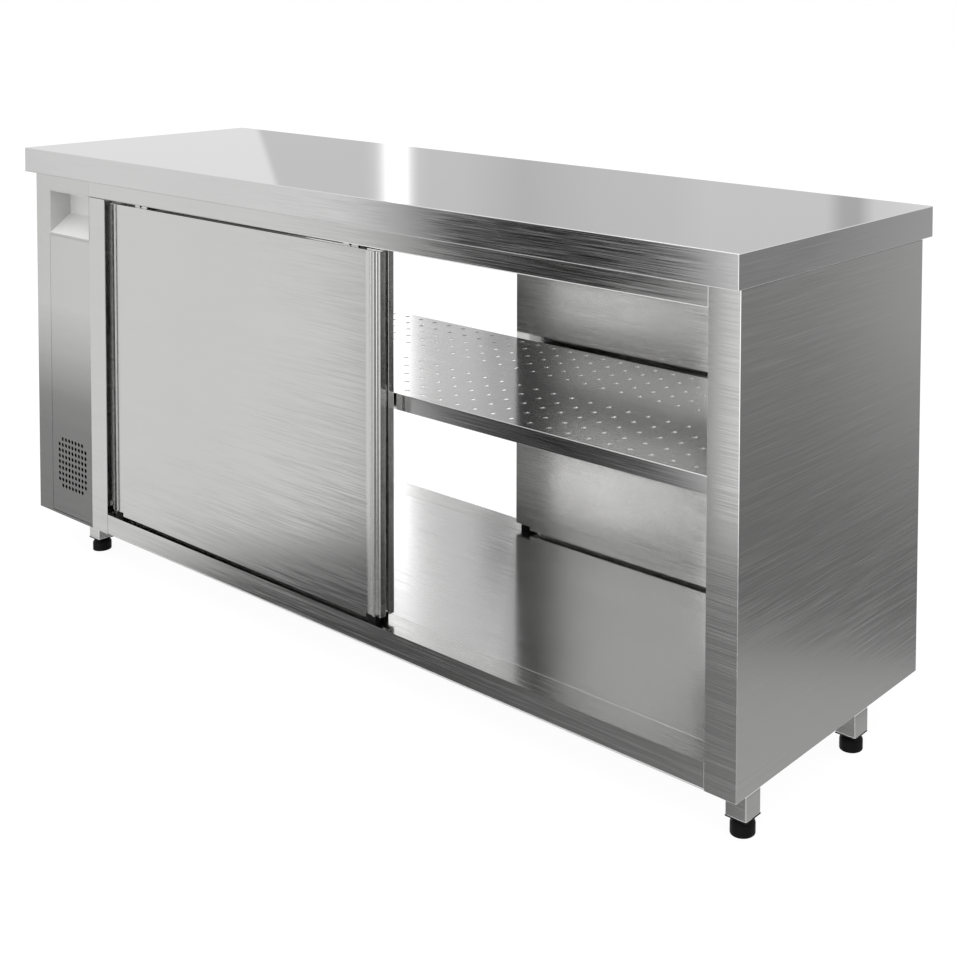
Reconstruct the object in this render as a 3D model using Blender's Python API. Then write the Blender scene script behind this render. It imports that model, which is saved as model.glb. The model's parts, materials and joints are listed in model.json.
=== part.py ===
"""Heated counter: a stainless hot cupboard with a flat worktop, sliding doors on both long
sides, a perforated middle shelf, a technical bay with a vented service panel at the left end
and four square legs with levelling feet.

Frame: X runs along the counter to the right, Y runs from the front to the back, Z is up.
The origin is on the floor, under the middle of the worktop. All lengths are in metres.
"""
import math

import bmesh
import bpy
from mathutils import Matrix, Vector

# overall sizes
LENGTH = 2.000
DEPTH = 0.600
HEIGHT = 0.900
CLEARANCE = 0.0003
SHEET = 0.0015
CUT_OVERRUN = 0.004

# worktop
WORKTOP_EDGE = 0.055
WORKTOP_LIP = 0.050

# body under the worktop
LEFT_OVERHANG = 0.035
RIGHT_OVERHANG = 0.0005
FRONT_OVERHANG = 0.007
BACK_OVERHANG = 0.035
BODY_BOTTOM = 0.070
BAY_WIDTH = 0.220
LEFT_STILE = 0.060
RIGHT_STILE = 0.0595
RAIL_DROP = 0.035
RAIL_HEM = 0.009
RAIL_FLANGE = 0.055
DECK_HEIGHT = 0.114
TRACK_STRIP = 0.053
STRIP_RETURN = 0.012
SILL_FLANGE = 0.018
SILL_LIFT = 0.0015

# middle shelf
SHELF_TOP = 0.537
SHELF_FRONT_SETBACK = 0.044
SHELF_BACK_SETBACK = 0.066
SHELF_LIP = 0.030
LEDGE = 0.020
HOLE_RADIUS = 0.0048
HOLE_PITCH_X = 0.0442
HOLE_PITCH_Y = 0.0396
HOLE_RIGHT_MARGIN = 0.0274
HOLE_LEFT_MARGIN = 0.030
HOLE_FRONT_MARGIN = 0.0245
HOLE_BAND_STEP = 0.2455
HOLE_ROWS = 5
HOLE_SIDES = 6

# sliding doors
DOOR_THICKNESS = 0.0140
DOOR_SHEET = 0.0010
DOOR_SIDE_GAP = 0.003
FRONT_DOORS_AJAR = 0.008
DOOR_OVERLAP = 0.125
DOOR_FLOOR_GAP = 0.006
DOOR_HEAD_GAP = 0.007
LANE_OFFSET = 0.0065
LANE_PITCH = 0.020
GRIP_WIDTH = 0.039
GRIP_RAISE = 0.0040
GRIP_STRIP = 0.012
GRIP_STEP = 0.0045
GROOVE_INSET = 0.0235
GROOVE_WIDTH = 0.003
GROOVE_DEPTH = 0.004
NOTCH_WIDTH = 0.041
NOTCH_RISE = 0.008

# door hangers, rollers, top tracks and bottom guides
EAR_WIDTH = 0.042
EAR_RISE = 0.034
EAR_SHEET = 0.0020
EAR_SETBACK = 0.0050
EAR_INSET_LEFT = 0.111
EAR_INSET_RIGHT = 0.086
AXLE_RADIUS = 0.0030
AXLE_LENGTH = 0.0068
ROLLER_RADIUS = 0.0100
ROLLER_WIDTH = 0.0058
ROLLER_SIDES = 16
TRACK_SHEET = 0.0012
TRACK_WEB_SETBACK = 0.0145
TRACK_LIP_LOW = 0.0035
TRACK_LIP_REACH = 0.0067
GUIDE_LENGTH = 0.022
GUIDE_INSET = 0.014
GUIDE_RISE = 0.018

# technical bay: service panel, control recess and electrics
FASCIA_COLUMN = 0.0575
SERVICE_BOTTOM = 0.076
SERVICE_GAP = 0.0055
PANEL_RETURN = 0.012
VENT_PITCH = 0.01335
VENT_RADIUS = 0.0043
VENT_RIGHT_INSET = 0.0797
VENT_HEIGHT = 0.1924
VENT_COUNT = 9
VENT_SIDES = 6
RECESS_DROP = 0.036
RECESS_HEIGHT = 0.0945
RECESS_DEPTH = 0.050
RECESS_SLOPE_RISE = 0.0375
RECESS_LEFT_INSET = 0.060
RECESS_SHEET = 0.0012

KNOB_RADIUS = 0.017
KNOB_SKIRT = 0.004
KNOB_GRIP_RADIUS = 0.012
KNOB_GRIP_LENGTH = 0.014
KNOB_RIB_WIDTH = 0.005
KNOB_GAP = 0.001
KNOB_RIGHT_INSET = 0.0255
KNOB_SIDES = 28
SPINDLE_RADIUS = 0.003
SPINDLE_DEPTH = 0.016
THERMOSTAT_SIDE = 0.040
THERMOSTAT_DEPTH = 0.028
CONTROL_DROP = 0.029

SWITCH_RIGHT_INSET = 0.0645
SWITCH_FRAME_WIDTH = 0.019
SWITCH_FRAME_HEIGHT = 0.030
SWITCH_FRAME_SHEET = 0.002
SWITCH_BODY_WIDTH = 0.016
SWITCH_BODY_HEIGHT = 0.027
SWITCH_BODY_DEPTH = 0.022
ROCKER_WIDTH = 0.012
ROCKER_HALF = 0.0105
ROCKER_DEPTH = 0.008
ROCKER_POP = 0.0015
ROCKER_ANGLE = 8.0

FAN_HEIGHT = 0.325
MOTOR_RADIUS = 0.036
MOTOR_LENGTH = 0.046
MOTOR_BOSS_RADIUS = 0.010
SHAFT_RADIUS = 0.004
SHAFT_ENGAGE = 0.020
SHAFT_HOLE_RADIUS = 0.012
IMPELLER_RADIUS = 0.070
IMPELLER_WIDTH = 0.028
IMPELLER_PLATE = 0.002
IMPELLER_HUB_RADIUS = 0.011
IMPELLER_BLADES = 10
BLADE_SHEET = 0.0015
BLADE_INNER_RADIUS = 0.035
IMPELLER_GAP = 0.008
HEATER_RADIUS = 0.090
HEATER_TUBE = 0.004
HEATER_GAP_ANGLE = 24.0
HEATER_TAIL = 0.018
HEATER_STANDOFF = 0.024
HEATER_POINTS = 30
HEATER_HOLE_RADIUS = 0.0046
INTAKE_SLOTS = 7
INTAKE_SLOT_LENGTH = 0.090
INTAKE_SLOT_HEIGHT = 0.006
INTAKE_SLOT_PITCH = 0.014
OUTLET_SLOTS = 3
OUTLET_DROP = 0.1414
OUTLET_SLOT_LENGTH = 0.300
GLAND_RADIUS = 0.013
GLAND_THREAD_RADIUS = 0.009
GLAND_BORE_RADIUS = 0.005
GLAND_HEAD = 0.016
GLAND_TAIL = 0.012
GLAND_HEIGHT = 0.140
GLAND_SIDES = 12

# legs and levelling feet
LEG_SIDE = 0.040
LEG_WALL = 0.0015
LEG_RIGHT_INSET = 0.0005
LEG_LEFT_INSET = 0.160
LEG_FRONT_INSET = 0.0275
LEG_BACK_INSET = 0.1695
LEG_BOTTOM = 0.029
PLUG_LIP = 0.002
PLUG_HEIGHT = 0.022
PLUG_BORE_RADIUS = 0.0054
FOOT_RADIUS = 0.020
FOOT_HEIGHT = 0.0262
FOOT_STEM_RADIUS = 0.005
FOOT_STEM_TOP = 0.047
FOOT_SIDES = 20
FOOT_RADIUS_SHARES = (0.93, 1.0, 1.0, 0.86, 0.55)
FOOT_HEIGHT_SHARES = (0.0, 0.12, 0.62, 0.90, 1.0)

# places worked out from the sizes above
LEFT = -LENGTH / 2
RIGHT = LENGTH / 2
FRONT = -DEPTH / 2
BACK = DEPTH / 2
BODY_LEFT = LEFT + LEFT_OVERHANG
BODY_RIGHT = RIGHT - RIGHT_OVERHANG
BODY_FRONT = FRONT + FRONT_OVERHANG
BODY_BACK = BACK - BACK_OVERHANG
APRON_LOW = HEIGHT - WORKTOP_EDGE
BODY_TOP = APRON_LOW - CLEARANCE
RAIL_LOW = APRON_LOW - RAIL_DROP
PARTITION_LEFT = BODY_LEFT + BAY_WIDTH
CHAMBER_LEFT = PARTITION_LEFT + LEFT_STILE
CHAMBER_RIGHT = BODY_RIGHT - RIGHT_STILE
STRIP_FRONT = BODY_FRONT + TRACK_STRIP
STRIP_BACK = BODY_BACK - TRACK_STRIP
TRAY_TOP = BODY_BOTTOM + SHEET
ABOVE_TRAY = TRAY_TOP + CLEARANCE
DECK_LOW = DECK_HEIGHT - SHEET
FLANGE_LOW = BODY_TOP - SHEET
CEILING_TOP = FLANGE_LOW - CLEARANCE
CEILING_LOW = CEILING_TOP - SHEET
RECESS_TOP = APRON_LOW - RECESS_DROP
RECESS_BOTTOM = RECESS_TOP - RECESS_HEIGHT
SERVICE_TOP = RECESS_BOTTOM - SERVICE_GAP
CONTROL_HEIGHT = RECESS_TOP - CONTROL_DROP
OUTLET_HEIGHT = CEILING_LOW - OUTLET_DROP
DOOR_WIDTH = (CHAMBER_RIGHT - CHAMBER_LEFT + DOOR_OVERLAP) / 2
DOOR_LOW = DECK_HEIGHT + DOOR_FLOOR_GAP
DOOR_TOP = RAIL_LOW - DOOR_HEAD_GAP
ROLLER_FLOOR = RAIL_LOW + TRACK_LIP_LOW + TRACK_SHEET
ROLLER_HEIGHT = ROLLER_FLOOR + CLEARANCE + ROLLER_RADIUS
LANES = {
    "front_outer": BODY_FRONT + LANE_OFFSET,
    "front_inner": BODY_FRONT + LANE_OFFSET + LANE_PITCH,
    "back_inner": STRIP_BACK + LANE_OFFSET,
    "back_outer": STRIP_BACK + LANE_OFFSET + LANE_PITCH,
}
SHELF_FRONT = BODY_FRONT + SHELF_FRONT_SETBACK
SHELF_BACK = BODY_BACK - SHELF_BACK_SETBACK
MID_DEPTH = (BODY_FRONT + BODY_BACK) / 2
LEG_TOP = BODY_BOTTOM - CLEARANCE
RECESS_LEFT = BODY_LEFT + RECESS_LEFT_INSET
RECESS_RIGHT = PARTITION_LEFT - SHEET - RECESS_SHEET
RECESS_BACK = BODY_FRONT + RECESS_DEPTH
KNOB_X = PARTITION_LEFT - KNOB_RIGHT_INSET
SWITCH_X = PARTITION_LEFT - SWITCH_RIGHT_INSET

STEEL = (0.60, 0.60, 0.59, 1.0)
PALE_STEEL = (0.72, 0.72, 0.71, 1.0)
DARK_STEEL = (0.42, 0.42, 0.42, 1.0)
BLACK = (0.015, 0.015, 0.015, 1.0)
WHITE = (0.75, 0.75, 0.74, 1.0)
RED = (0.55, 0.03, 0.02, 1.0)


def clear_scene():
    for item in list(bpy.data.objects):
        bpy.data.objects.remove(item, do_unlink=True)


def material(name, colour, roughness, metallic):
    found = bpy.data.materials.get(name)
    if found:
        return found
    made = bpy.data.materials.new(name)
    made.use_nodes = True
    shader = made.node_tree.nodes["Principled BSDF"]
    shader.inputs["Base Color"].default_value = colour
    shader.inputs["Roughness"].default_value = roughness
    shader.inputs["Metallic"].default_value = metallic
    made.diffuse_color = colour
    return made


def place(axis, first, second, along):
    """A point from two outline coordinates and one along the axis."""
    if axis == "X":
        return Vector((along, first, second))
    if axis == "Y":
        return Vector((first, along, second))
    return Vector((first, second, along))


def prism(axis, outline, low, high):
    """A closed solid: the outline drawn across the axis and carried from low to high."""
    shape = bmesh.new()
    near = [shape.verts.new(place(axis, a, b, low)) for a, b in outline]
    far = [shape.verts.new(place(axis, a, b, high)) for a, b in outline]
    shape.faces.new(near)
    shape.faces.new(far)
    count = len(outline)
    for i in range(count):
        j = (i + 1) % count
        shape.faces.new((near[i], near[j], far[j], far[i]))
    bmesh.ops.recalc_face_normals(shape, faces=shape.faces)
    return shape


def box(low, high):
    outline = ((low[0], low[1]), (high[0], low[1]), (high[0], high[1]), (low[0], high[1]))
    return prism("Z", outline, low[2], high[2])


def cylinder(axis, centre, radius, low, high, sides):
    outline = []
    for i in range(sides):
        angle = 2 * math.pi * (i + 0.5) / sides
        outline.append((centre[0] + radius * math.cos(angle),
                        centre[1] + radius * math.sin(angle)))
    return prism(axis, outline, low, high)


def turned(axis, centre, profile, sides):
    """A turned solid: profile lists (radius, along), and starts and ends on the axis."""
    shape = bmesh.new()
    rows = []
    for radius, along in profile:
        if radius == 0:
            rows.append([shape.verts.new(place(axis, centre[0], centre[1], along))])
            continue
        row = []
        for i in range(sides):
            angle = 2 * math.pi * i / sides
            row.append(shape.verts.new(place(
                axis, centre[0] + radius * math.cos(angle),
                centre[1] + radius * math.sin(angle), along)))
        rows.append(row)
    for row, after in zip(rows, rows[1:]):
        for i in range(sides):
            j = (i + 1) % sides
            corners = [row[i % len(row)], row[j % len(row)],
                       after[j % len(after)], after[i % len(after)]]
            kept = []
            for corner in corners:
                if corner not in kept:
                    kept.append(corner)
            shape.faces.new(kept)
    bmesh.ops.recalc_face_normals(shape, faces=shape.faces)
    return shape


def ring(axis, centre, outer, inner, low, high, sides):
    """A closed tube with a bore."""
    shape = bmesh.new()
    loops = []
    for radius, along in ((outer, low), (outer, high), (inner, high), (inner, low)):
        loop = []
        for i in range(sides):
            angle = 2 * math.pi * i / sides
            loop.append(shape.verts.new(place(
                axis, centre[0] + radius * math.cos(angle),
                centre[1] + radius * math.sin(angle), along)))
        loops.append(loop)
    for k in range(4):
        loop, after = loops[k], loops[(k + 1) % 4]
        for i in range(sides):
            j = (i + 1) % sides
            shape.faces.new((loop[i], loop[j], after[j], after[i]))
    bmesh.ops.recalc_face_normals(shape, faces=shape.faces)
    return shape


def nested(axis, low, high, steps):
    """A folded tray: rectangles inset from low and high, one after the other along the axis."""
    shape = bmesh.new()
    loops = []
    for inset, along in steps:
        corners = ((low[0] + inset, low[1] + inset), (high[0] - inset, low[1] + inset),
                   (high[0] - inset, high[1] - inset), (low[0] + inset, high[1] - inset))
        loops.append([shape.verts.new(place(axis, a, b, along)) for a, b in corners])
    shape.faces.new(loops[0])
    shape.faces.new(loops[-1])
    for loop, after in zip(loops, loops[1:]):
        for i in range(4):
            j = (i + 1) % 4
            shape.faces.new((loop[i], loop[j], after[j], after[i]))
    bmesh.ops.recalc_face_normals(shape, faces=shape.faces)
    return shape


def make(name, shape, look, origin=(0, 0, 0), smooth=False):
    """An object from a shape in world coordinates, with its own origin."""
    centre = Vector(origin)
    bmesh.ops.translate(shape, verts=shape.verts, vec=-centre)
    mesh = bpy.data.meshes.new(name)
    shape.to_mesh(mesh)
    shape.free()
    item = bpy.data.objects.new(name, mesh)
    item.location = centre
    bpy.context.scene.collection.objects.link(item)
    mesh.materials.append(look)
    if smooth:
        mesh.shade_smooth()
        mesh.set_sharp_from_angle(angle=math.radians(35))
    return item


def combine(item, shapes, operation):
    """Joins or cuts each shape, given in world coordinates, into the object."""
    bpy.context.view_layer.update()
    for shape in shapes:
        tool = make(item.name + "_tool", shape, item.data.materials[0])
        modifier = item.modifiers.new("combine", "BOOLEAN")
        modifier.operation = operation
        modifier.solver = "EXACT"
        modifier.object = tool
        bpy.context.view_layer.update()
        bpy.context.view_layer.objects.active = item
        bpy.ops.object.modifier_apply(modifier=modifier.name)
        bpy.data.objects.remove(tool, do_unlink=True)
    return item


def merged(shapes):
    """Several shapes that don't touch, as one cutter."""
    whole = bmesh.new()
    for shape in shapes:
        mesh = bpy.data.meshes.new("cutter")
        shape.to_mesh(mesh)
        shape.free()
        whole.from_mesh(mesh)
        bpy.data.meshes.remove(mesh)
    return whole


def worktop():
    make("worktop", nested("Z", (LEFT, FRONT), (RIGHT, BACK), (
        (0, HEIGHT), (0, APRON_LOW), (WORKTOP_LIP, APRON_LOW),
        (WORKTOP_LIP, APRON_LOW + SHEET), (SHEET, APRON_LOW + SHEET),
        (SHEET, HEIGHT - SHEET))), steel)


def left_casing():
    """The left side and the front of the technical bay, one folded sheet with its openings."""
    column = BODY_LEFT + FASCIA_COLUMN
    end = PARTITION_LEFT - CLEARANCE
    top_end = PARTITION_LEFT - SHEET + CLEARANCE
    recess_side = RECESS_LEFT - RECESS_SHEET - CLEARANCE
    recess_low = RECESS_BOTTOM - RECESS_SHEET - CLEARANCE
    recess_high = RECESS_TOP + RECESS_SHEET + CLEARANCE
    outline = (
        (BODY_LEFT, BODY_BOTTOM), (end, BODY_BOTTOM),
        (end, SERVICE_BOTTOM - CLEARANCE), (column - CLEARANCE, SERVICE_BOTTOM - CLEARANCE),
        (column - CLEARANCE, SERVICE_TOP + CLEARANCE), (end, SERVICE_TOP + CLEARANCE),
        (end, recess_low), (recess_side, recess_low),
        (recess_side, recess_high), (top_end, recess_high),
        (top_end, BODY_TOP), (BODY_LEFT, BODY_TOP))
    item = make("left_casing", prism("Y", outline, BODY_FRONT, BODY_FRONT + SHEET), steel)
    side = box((BODY_LEFT, BODY_FRONT, BODY_BOTTOM), (BODY_LEFT + SHEET, BODY_BACK, BODY_TOP))
    combine(item, [side], "UNION")


def right_side_panel():
    """The right side with both corner stiles folded from it and their jamb returns."""
    inner = CHAMBER_RIGHT
    outline = (
        (inner, BODY_FRONT), (BODY_RIGHT, BODY_FRONT), (BODY_RIGHT, BODY_BACK),
        (inner, BODY_BACK), (inner, BODY_BACK - SHEET), (BODY_RIGHT - SHEET, BODY_BACK - SHEET),
        (BODY_RIGHT - SHEET, BODY_FRONT + SHEET), (inner, BODY_FRONT + SHEET))
    item = make("right_side_panel", prism("Z", outline, BODY_BOTTOM, BODY_TOP), steel)
    for near, far in ((BODY_FRONT, STRIP_FRONT), (STRIP_BACK, BODY_BACK)):
        jamb = box((inner, near, ABOVE_TRAY), (inner + SHEET, far, BODY_TOP))
        combine(item, [jamb], "UNION")


def partition_frame():
    """The upright between the technical bay and the chamber, with both left stiles."""
    left, right = PARTITION_LEFT, CHAMBER_LEFT
    front, back = BODY_FRONT, BODY_BACK
    outline = (
        (left, front), (right, front), (right, STRIP_FRONT), (right - SHEET, STRIP_FRONT),
        (right - SHEET, front + SHEET), (left + SHEET, front + SHEET),
        (left + SHEET, back - SHEET), (right - SHEET, back - SHEET),
        (right - SHEET, STRIP_BACK), (right, STRIP_BACK), (right, back), (left, back))
    top = RAIL_LOW - CLEARANCE
    item = make("partition_frame", prism("Z", outline, ABOVE_TRAY, top), steel)
    skirt = ABOVE_TRAY + SHEET
    for near, far in ((front, front + SHEET), (back - SHEET, back)):
        combine(item, [box((left, near, BODY_BOTTOM), (right, far, skirt))], "UNION")
    reach = (left - CUT_OVERRUN, left + SHEET + CUT_OVERRUN)
    holes = [cylinder("X", (MID_DEPTH, FAN_HEIGHT), SHAFT_HOLE_RADIUS, *reach, 16)]
    for side in (-1, 1):
        y, z = heater_end(side)
        holes.append(cylinder("X", (y, z), HEATER_HOLE_RADIUS + CLEARANCE, *reach, 12))
    combine(item, [merged(holes)], "DIFFERENCE")


def partition_lining():
    """The chamber's left wall, with the shelf ledge, the fan intake and the warm air outlet."""
    right = CHAMBER_LEFT
    ledge_top = SHELF_TOP - SHEET - CLEARANCE
    outline = (
        (right - SHEET, DECK_HEIGHT + CLEARANCE), (right, DECK_HEIGHT + CLEARANCE),
        (right, CEILING_LOW - CLEARANCE), (right - SHEET, CEILING_LOW - CLEARANCE))
    item = make("partition_lining", prism(
        "Y", outline, STRIP_FRONT + CLEARANCE, STRIP_BACK - CLEARANCE), pale)
    ledge = box((right - SHEET, SHELF_FRONT + LEDGE, ledge_top - SHEET),
                (right + LEDGE, SHELF_BACK - LEDGE, ledge_top))
    combine(item, [ledge], "UNION")
    slots = []
    near, far = right - SHEET - CUT_OVERRUN, right + CUT_OVERRUN
    for count, height, length in ((INTAKE_SLOTS, FAN_HEIGHT, INTAKE_SLOT_LENGTH),
                                  (OUTLET_SLOTS, OUTLET_HEIGHT, OUTLET_SLOT_LENGTH)):
        for i in range(count):
            z = height + (i - (count - 1) / 2) * INTAKE_SLOT_PITCH
            slots.append(box(
                (near, MID_DEPTH - length / 2, z - INTAKE_SLOT_HEIGHT / 2),
                (far, MID_DEPTH + length / 2, z + INTAKE_SLOT_HEIGHT / 2)))
    combine(item, [merged(slots)], "DIFFERENCE")


def right_inner_wall():
    """The chamber's right wall, with the shelf ledge."""
    left = CHAMBER_RIGHT
    ledge_top = SHELF_TOP - SHEET - CLEARANCE
    item = make("right_inner_wall", box(
        (left, STRIP_FRONT + CLEARANCE, DECK_HEIGHT + CLEARANCE),
        (left + SHEET, STRIP_BACK - CLEARANCE, CEILING_LOW - CLEARANCE)), pale)
    ledge = box((left - LEDGE, SHELF_FRONT + LEDGE, ledge_top - SHEET),
                (left + SHEET, SHELF_BACK - LEDGE, ledge_top))
    combine(item, [ledge], "UNION")


def top_rails():
    left = PARTITION_LEFT - SHEET + 2 * CLEARANCE
    right = CHAMBER_RIGHT - CLEARANCE
    for name, face, sign in (("top_rail_front", BODY_FRONT, 1), ("top_rail_back", BODY_BACK, -1)):
        outline = (
            (face, RAIL_LOW), (face + sign * RAIL_HEM, RAIL_LOW),
            (face + sign * RAIL_HEM, RAIL_LOW + SHEET), (face + sign * SHEET, RAIL_LOW + SHEET),
            (face + sign * SHEET, FLANGE_LOW), (face + sign * RAIL_FLANGE, FLANGE_LOW),
            (face + sign * RAIL_FLANGE, BODY_TOP), (face, BODY_TOP))
        make(name, prism("X", outline, left, right), steel)


def top_tracks():
    """The hidden double tracks: a plate with two webs, each with a running lip."""
    left = PARTITION_LEFT + SHEET + CLEARANCE
    right = CHAMBER_RIGHT - CLEARANCE
    top = CEILING_TOP
    low = top - TRACK_SHEET
    lip = RAIL_LOW + TRACK_LIP_LOW
    for name, lane in (("top_track_front", LANES["front_outer"]),
                       ("top_track_back", LANES["back_inner"])):
        start = lane - SHEET
        web = lane + TRACK_WEB_SETBACK
        web_two = web + LANE_PITCH
        end = web_two + TRACK_SHEET
        outline = (
            (start, top), (start, low), (web, low), (web, lip + TRACK_SHEET),
            (web - TRACK_LIP_REACH, lip + TRACK_SHEET), (web - TRACK_LIP_REACH, lip),
            (web + TRACK_SHEET, lip), (web + TRACK_SHEET, low), (web_two, low),
            (web_two, lip + TRACK_SHEET), (web_two - TRACK_LIP_REACH, lip + TRACK_SHEET),
            (web_two - TRACK_LIP_REACH, lip), (end, lip), (end, top))
        make(name, prism("X", outline, left, right), dark)


def bottom_rails():
    """The sills: outer face, track strip on top, return inside and flange below."""
    left = CHAMBER_LEFT + CLEARANCE
    right = CHAMBER_RIGHT - CLEARANCE
    low = ABOVE_TRAY
    for name, face, sign, inner in (("bottom_rail_front", BODY_FRONT, 1, STRIP_FRONT),
                                    ("bottom_rail_back", BODY_BACK, -1, STRIP_BACK)):
        outline = (
            (face, low), (face + sign * SILL_FLANGE, low),
            (face + sign * SILL_FLANGE, low + SHEET), (face + sign * SHEET, low + SHEET),
            (face + sign * SHEET, DECK_LOW), (inner - sign * SHEET, DECK_LOW),
            (inner - sign * SHEET, DECK_LOW - STRIP_RETURN), (inner, DECK_LOW - STRIP_RETURN),
            (inner, DECK_HEIGHT), (face, DECK_HEIGHT))
        make(name, prism("X", outline, left, right), steel)


def chamber_floor():
    make("chamber_floor", box(
        (CHAMBER_LEFT + CLEARANCE, STRIP_FRONT + CLEARANCE, DECK_LOW),
        (CHAMBER_RIGHT - CLEARANCE, STRIP_BACK - CLEARANCE, DECK_HEIGHT)), pale)


def base_tray():
    make("base_tray", box(
        (BODY_LEFT + SHEET + CLEARANCE, BODY_FRONT + SHEET + CLEARANCE, BODY_BOTTOM),
        (BODY_RIGHT - SHEET - CLEARANCE, BODY_BACK - SHEET - CLEARANCE, TRAY_TOP)), dark)


def chamber_ceiling():
    front = LANES["front_outer"] + TRACK_WEB_SETBACK + LANE_PITCH + TRACK_SHEET + CLEARANCE
    back = LANES["back_inner"] - SHEET - CLEARANCE
    make("chamber_ceiling", box(
        (CHAMBER_LEFT - SHEET, front, CEILING_LOW),
        (CHAMBER_RIGHT - CLEARANCE, back, CEILING_TOP)), pale)


def mid_shelf():
    left = CHAMBER_LEFT + CLEARANCE
    right = CHAMBER_RIGHT - CLEARANCE
    low = SHELF_TOP - SHELF_LIP
    outline = (
        (SHELF_FRONT, low), (SHELF_FRONT + SHEET, low), (SHELF_FRONT + SHEET, SHELF_TOP - SHEET),
        (SHELF_BACK - SHEET, SHELF_TOP - SHEET), (SHELF_BACK - SHEET, low),
        (SHELF_BACK, low), (SHELF_BACK, SHELF_TOP), (SHELF_FRONT, SHELF_TOP))
    item = make("mid_shelf", prism("X", outline, left, right), pale)
    last = right - HOLE_RIGHT_MARGIN
    columns = int((last - left - HOLE_LEFT_MARGIN) / HOLE_PITCH_X) + 1
    cutters = []
    for column in range(columns):
        for band in range(2):
            for row in range(HOLE_ROWS):
                centre = (last - column * HOLE_PITCH_X,
                          SHELF_FRONT + HOLE_FRONT_MARGIN + band * HOLE_BAND_STEP
                          + row * HOLE_PITCH_Y)
                cutters.append(cylinder(
                    "Z", centre, HOLE_RADIUS, SHELF_TOP - SHEET - CUT_OVERRUN,
                    SHELF_TOP + CUT_OVERRUN, HOLE_SIDES))
    combine(item, [merged(cutters)], "DIFFERENCE")


def door_outline(left, right, near, far, inset):
    """A door's section seen from above: near is the panel, which both grips stand out from."""
    sign = 1 if far > near else -1
    panel = near + sign * inset
    face = panel - sign * GRIP_RAISE
    strip = face + sign * GRIP_STEP
    groove = face + sign * GROOVE_DEPTH
    rear = far - sign * inset
    half = GROOVE_WIDTH / 2 + inset
    edge, grip = GRIP_STRIP + inset, GRIP_WIDTH - inset
    a, b = left + GROOVE_INSET, right - GROOVE_INSET
    return (
        (left + inset, rear), (left + inset, strip), (left + edge, strip), (left + edge, face),
        (a - half, face), (a - half, groove), (a + half, groove), (a + half, face),
        (left + grip, face), (left + grip, panel), (right - grip, panel), (right - grip, face),
        (b - half, face), (b - half, groove), (b + half, groove), (b + half, face),
        (right - edge, face), (right - edge, strip), (right - inset, strip),
        (right - inset, rear))


def doors():
    """Two doors on each long side, hollow from below, with two hanger ears welded on top."""
    for name, lane in LANES.items():
        front = name.startswith("front")
        left = CHAMBER_LEFT + DOOR_SIDE_GAP + FRONT_DOORS_AJAR
        if not front:
            left = CHAMBER_RIGHT - DOOR_SIDE_GAP - DOOR_WIDTH
        right = left + DOOR_WIDTH
        near, far = lane, lane + DOOR_THICKNESS
        if not front:
            near, far = far, near
        origin = ((left + right) / 2, lane + DOOR_THICKNESS / 2, ROLLER_HEIGHT)
        item = make("door_" + name, prism(
            "Z", door_outline(left, right, near, far, 0), DOOR_LOW, DOOR_TOP), steel, origin)
        hollow = prism("Z", door_outline(left, right, near, far, DOOR_SHEET),
                       DOOR_LOW - CUT_OVERRUN, DOOR_TOP - DOOR_SHEET)
        combine(item, [hollow], "DIFFERENCE")
        combine(item, [box(
            (x, lane - GRIP_RAISE - CUT_OVERRUN, DOOR_LOW - CUT_OVERRUN),
            (x + NOTCH_WIDTH + CUT_OVERRUN,
             lane + DOOR_THICKNESS + GRIP_RAISE + CUT_OVERRUN, DOOR_LOW + NOTCH_RISE))
            for x in (left - CUT_OVERRUN, right - NOTCH_WIDTH)], "DIFFERENCE")
        ear_near = lane + EAR_SETBACK
        ear_far = ear_near + EAR_SHEET
        for side, x in (("left", left + EAR_INSET_LEFT), ("right", right - EAR_INSET_RIGHT)):
            ear = box((x - EAR_WIDTH / 2, ear_near, DOOR_TOP - DOOR_SHEET / 2),
                      (x + EAR_WIDTH / 2, ear_far, DOOR_TOP + EAR_RISE))
            axle = cylinder("Y", (x, ROLLER_HEIGHT), AXLE_RADIUS, ear_near + EAR_SHEET / 2,
                            ear_far + AXLE_LENGTH, 12)
            combine(item, [ear, axle], "UNION")
            start = ear_far + CLEARANCE
            make("roller_" + name + "_" + side, ring(
                "Y", (x, ROLLER_HEIGHT), ROLLER_RADIUS, AXLE_RADIUS + CLEARANCE, start,
                start + ROLLER_WIDTH, ROLLER_SIDES), nylon,
                (x, start + ROLLER_WIDTH / 2, ROLLER_HEIGHT), True)
        room = DOOR_SHEET + CLEARANCE
        for side, x in (("left", left + GUIDE_INSET),
                        ("right", right - GUIDE_INSET - GUIDE_LENGTH)):
            guide(name, side, x, near, far, room, origin)


def guide(name, side, left, near, far, room, origin):
    """A nylon guide block pushed up into the door's open lower edge."""
    sign = 1 if far > near else -1
    first = near + sign * (room + GROOVE_DEPTH - GRIP_RAISE)
    second = far - sign * room
    low, high = min(first, second), max(first, second)
    make("guide_" + name + "_" + side, box(
        (left, low, DECK_HEIGHT + CLEARANCE), (left + GUIDE_LENGTH, high, DOOR_LOW + GUIDE_RISE)),
        black, origin)


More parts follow.
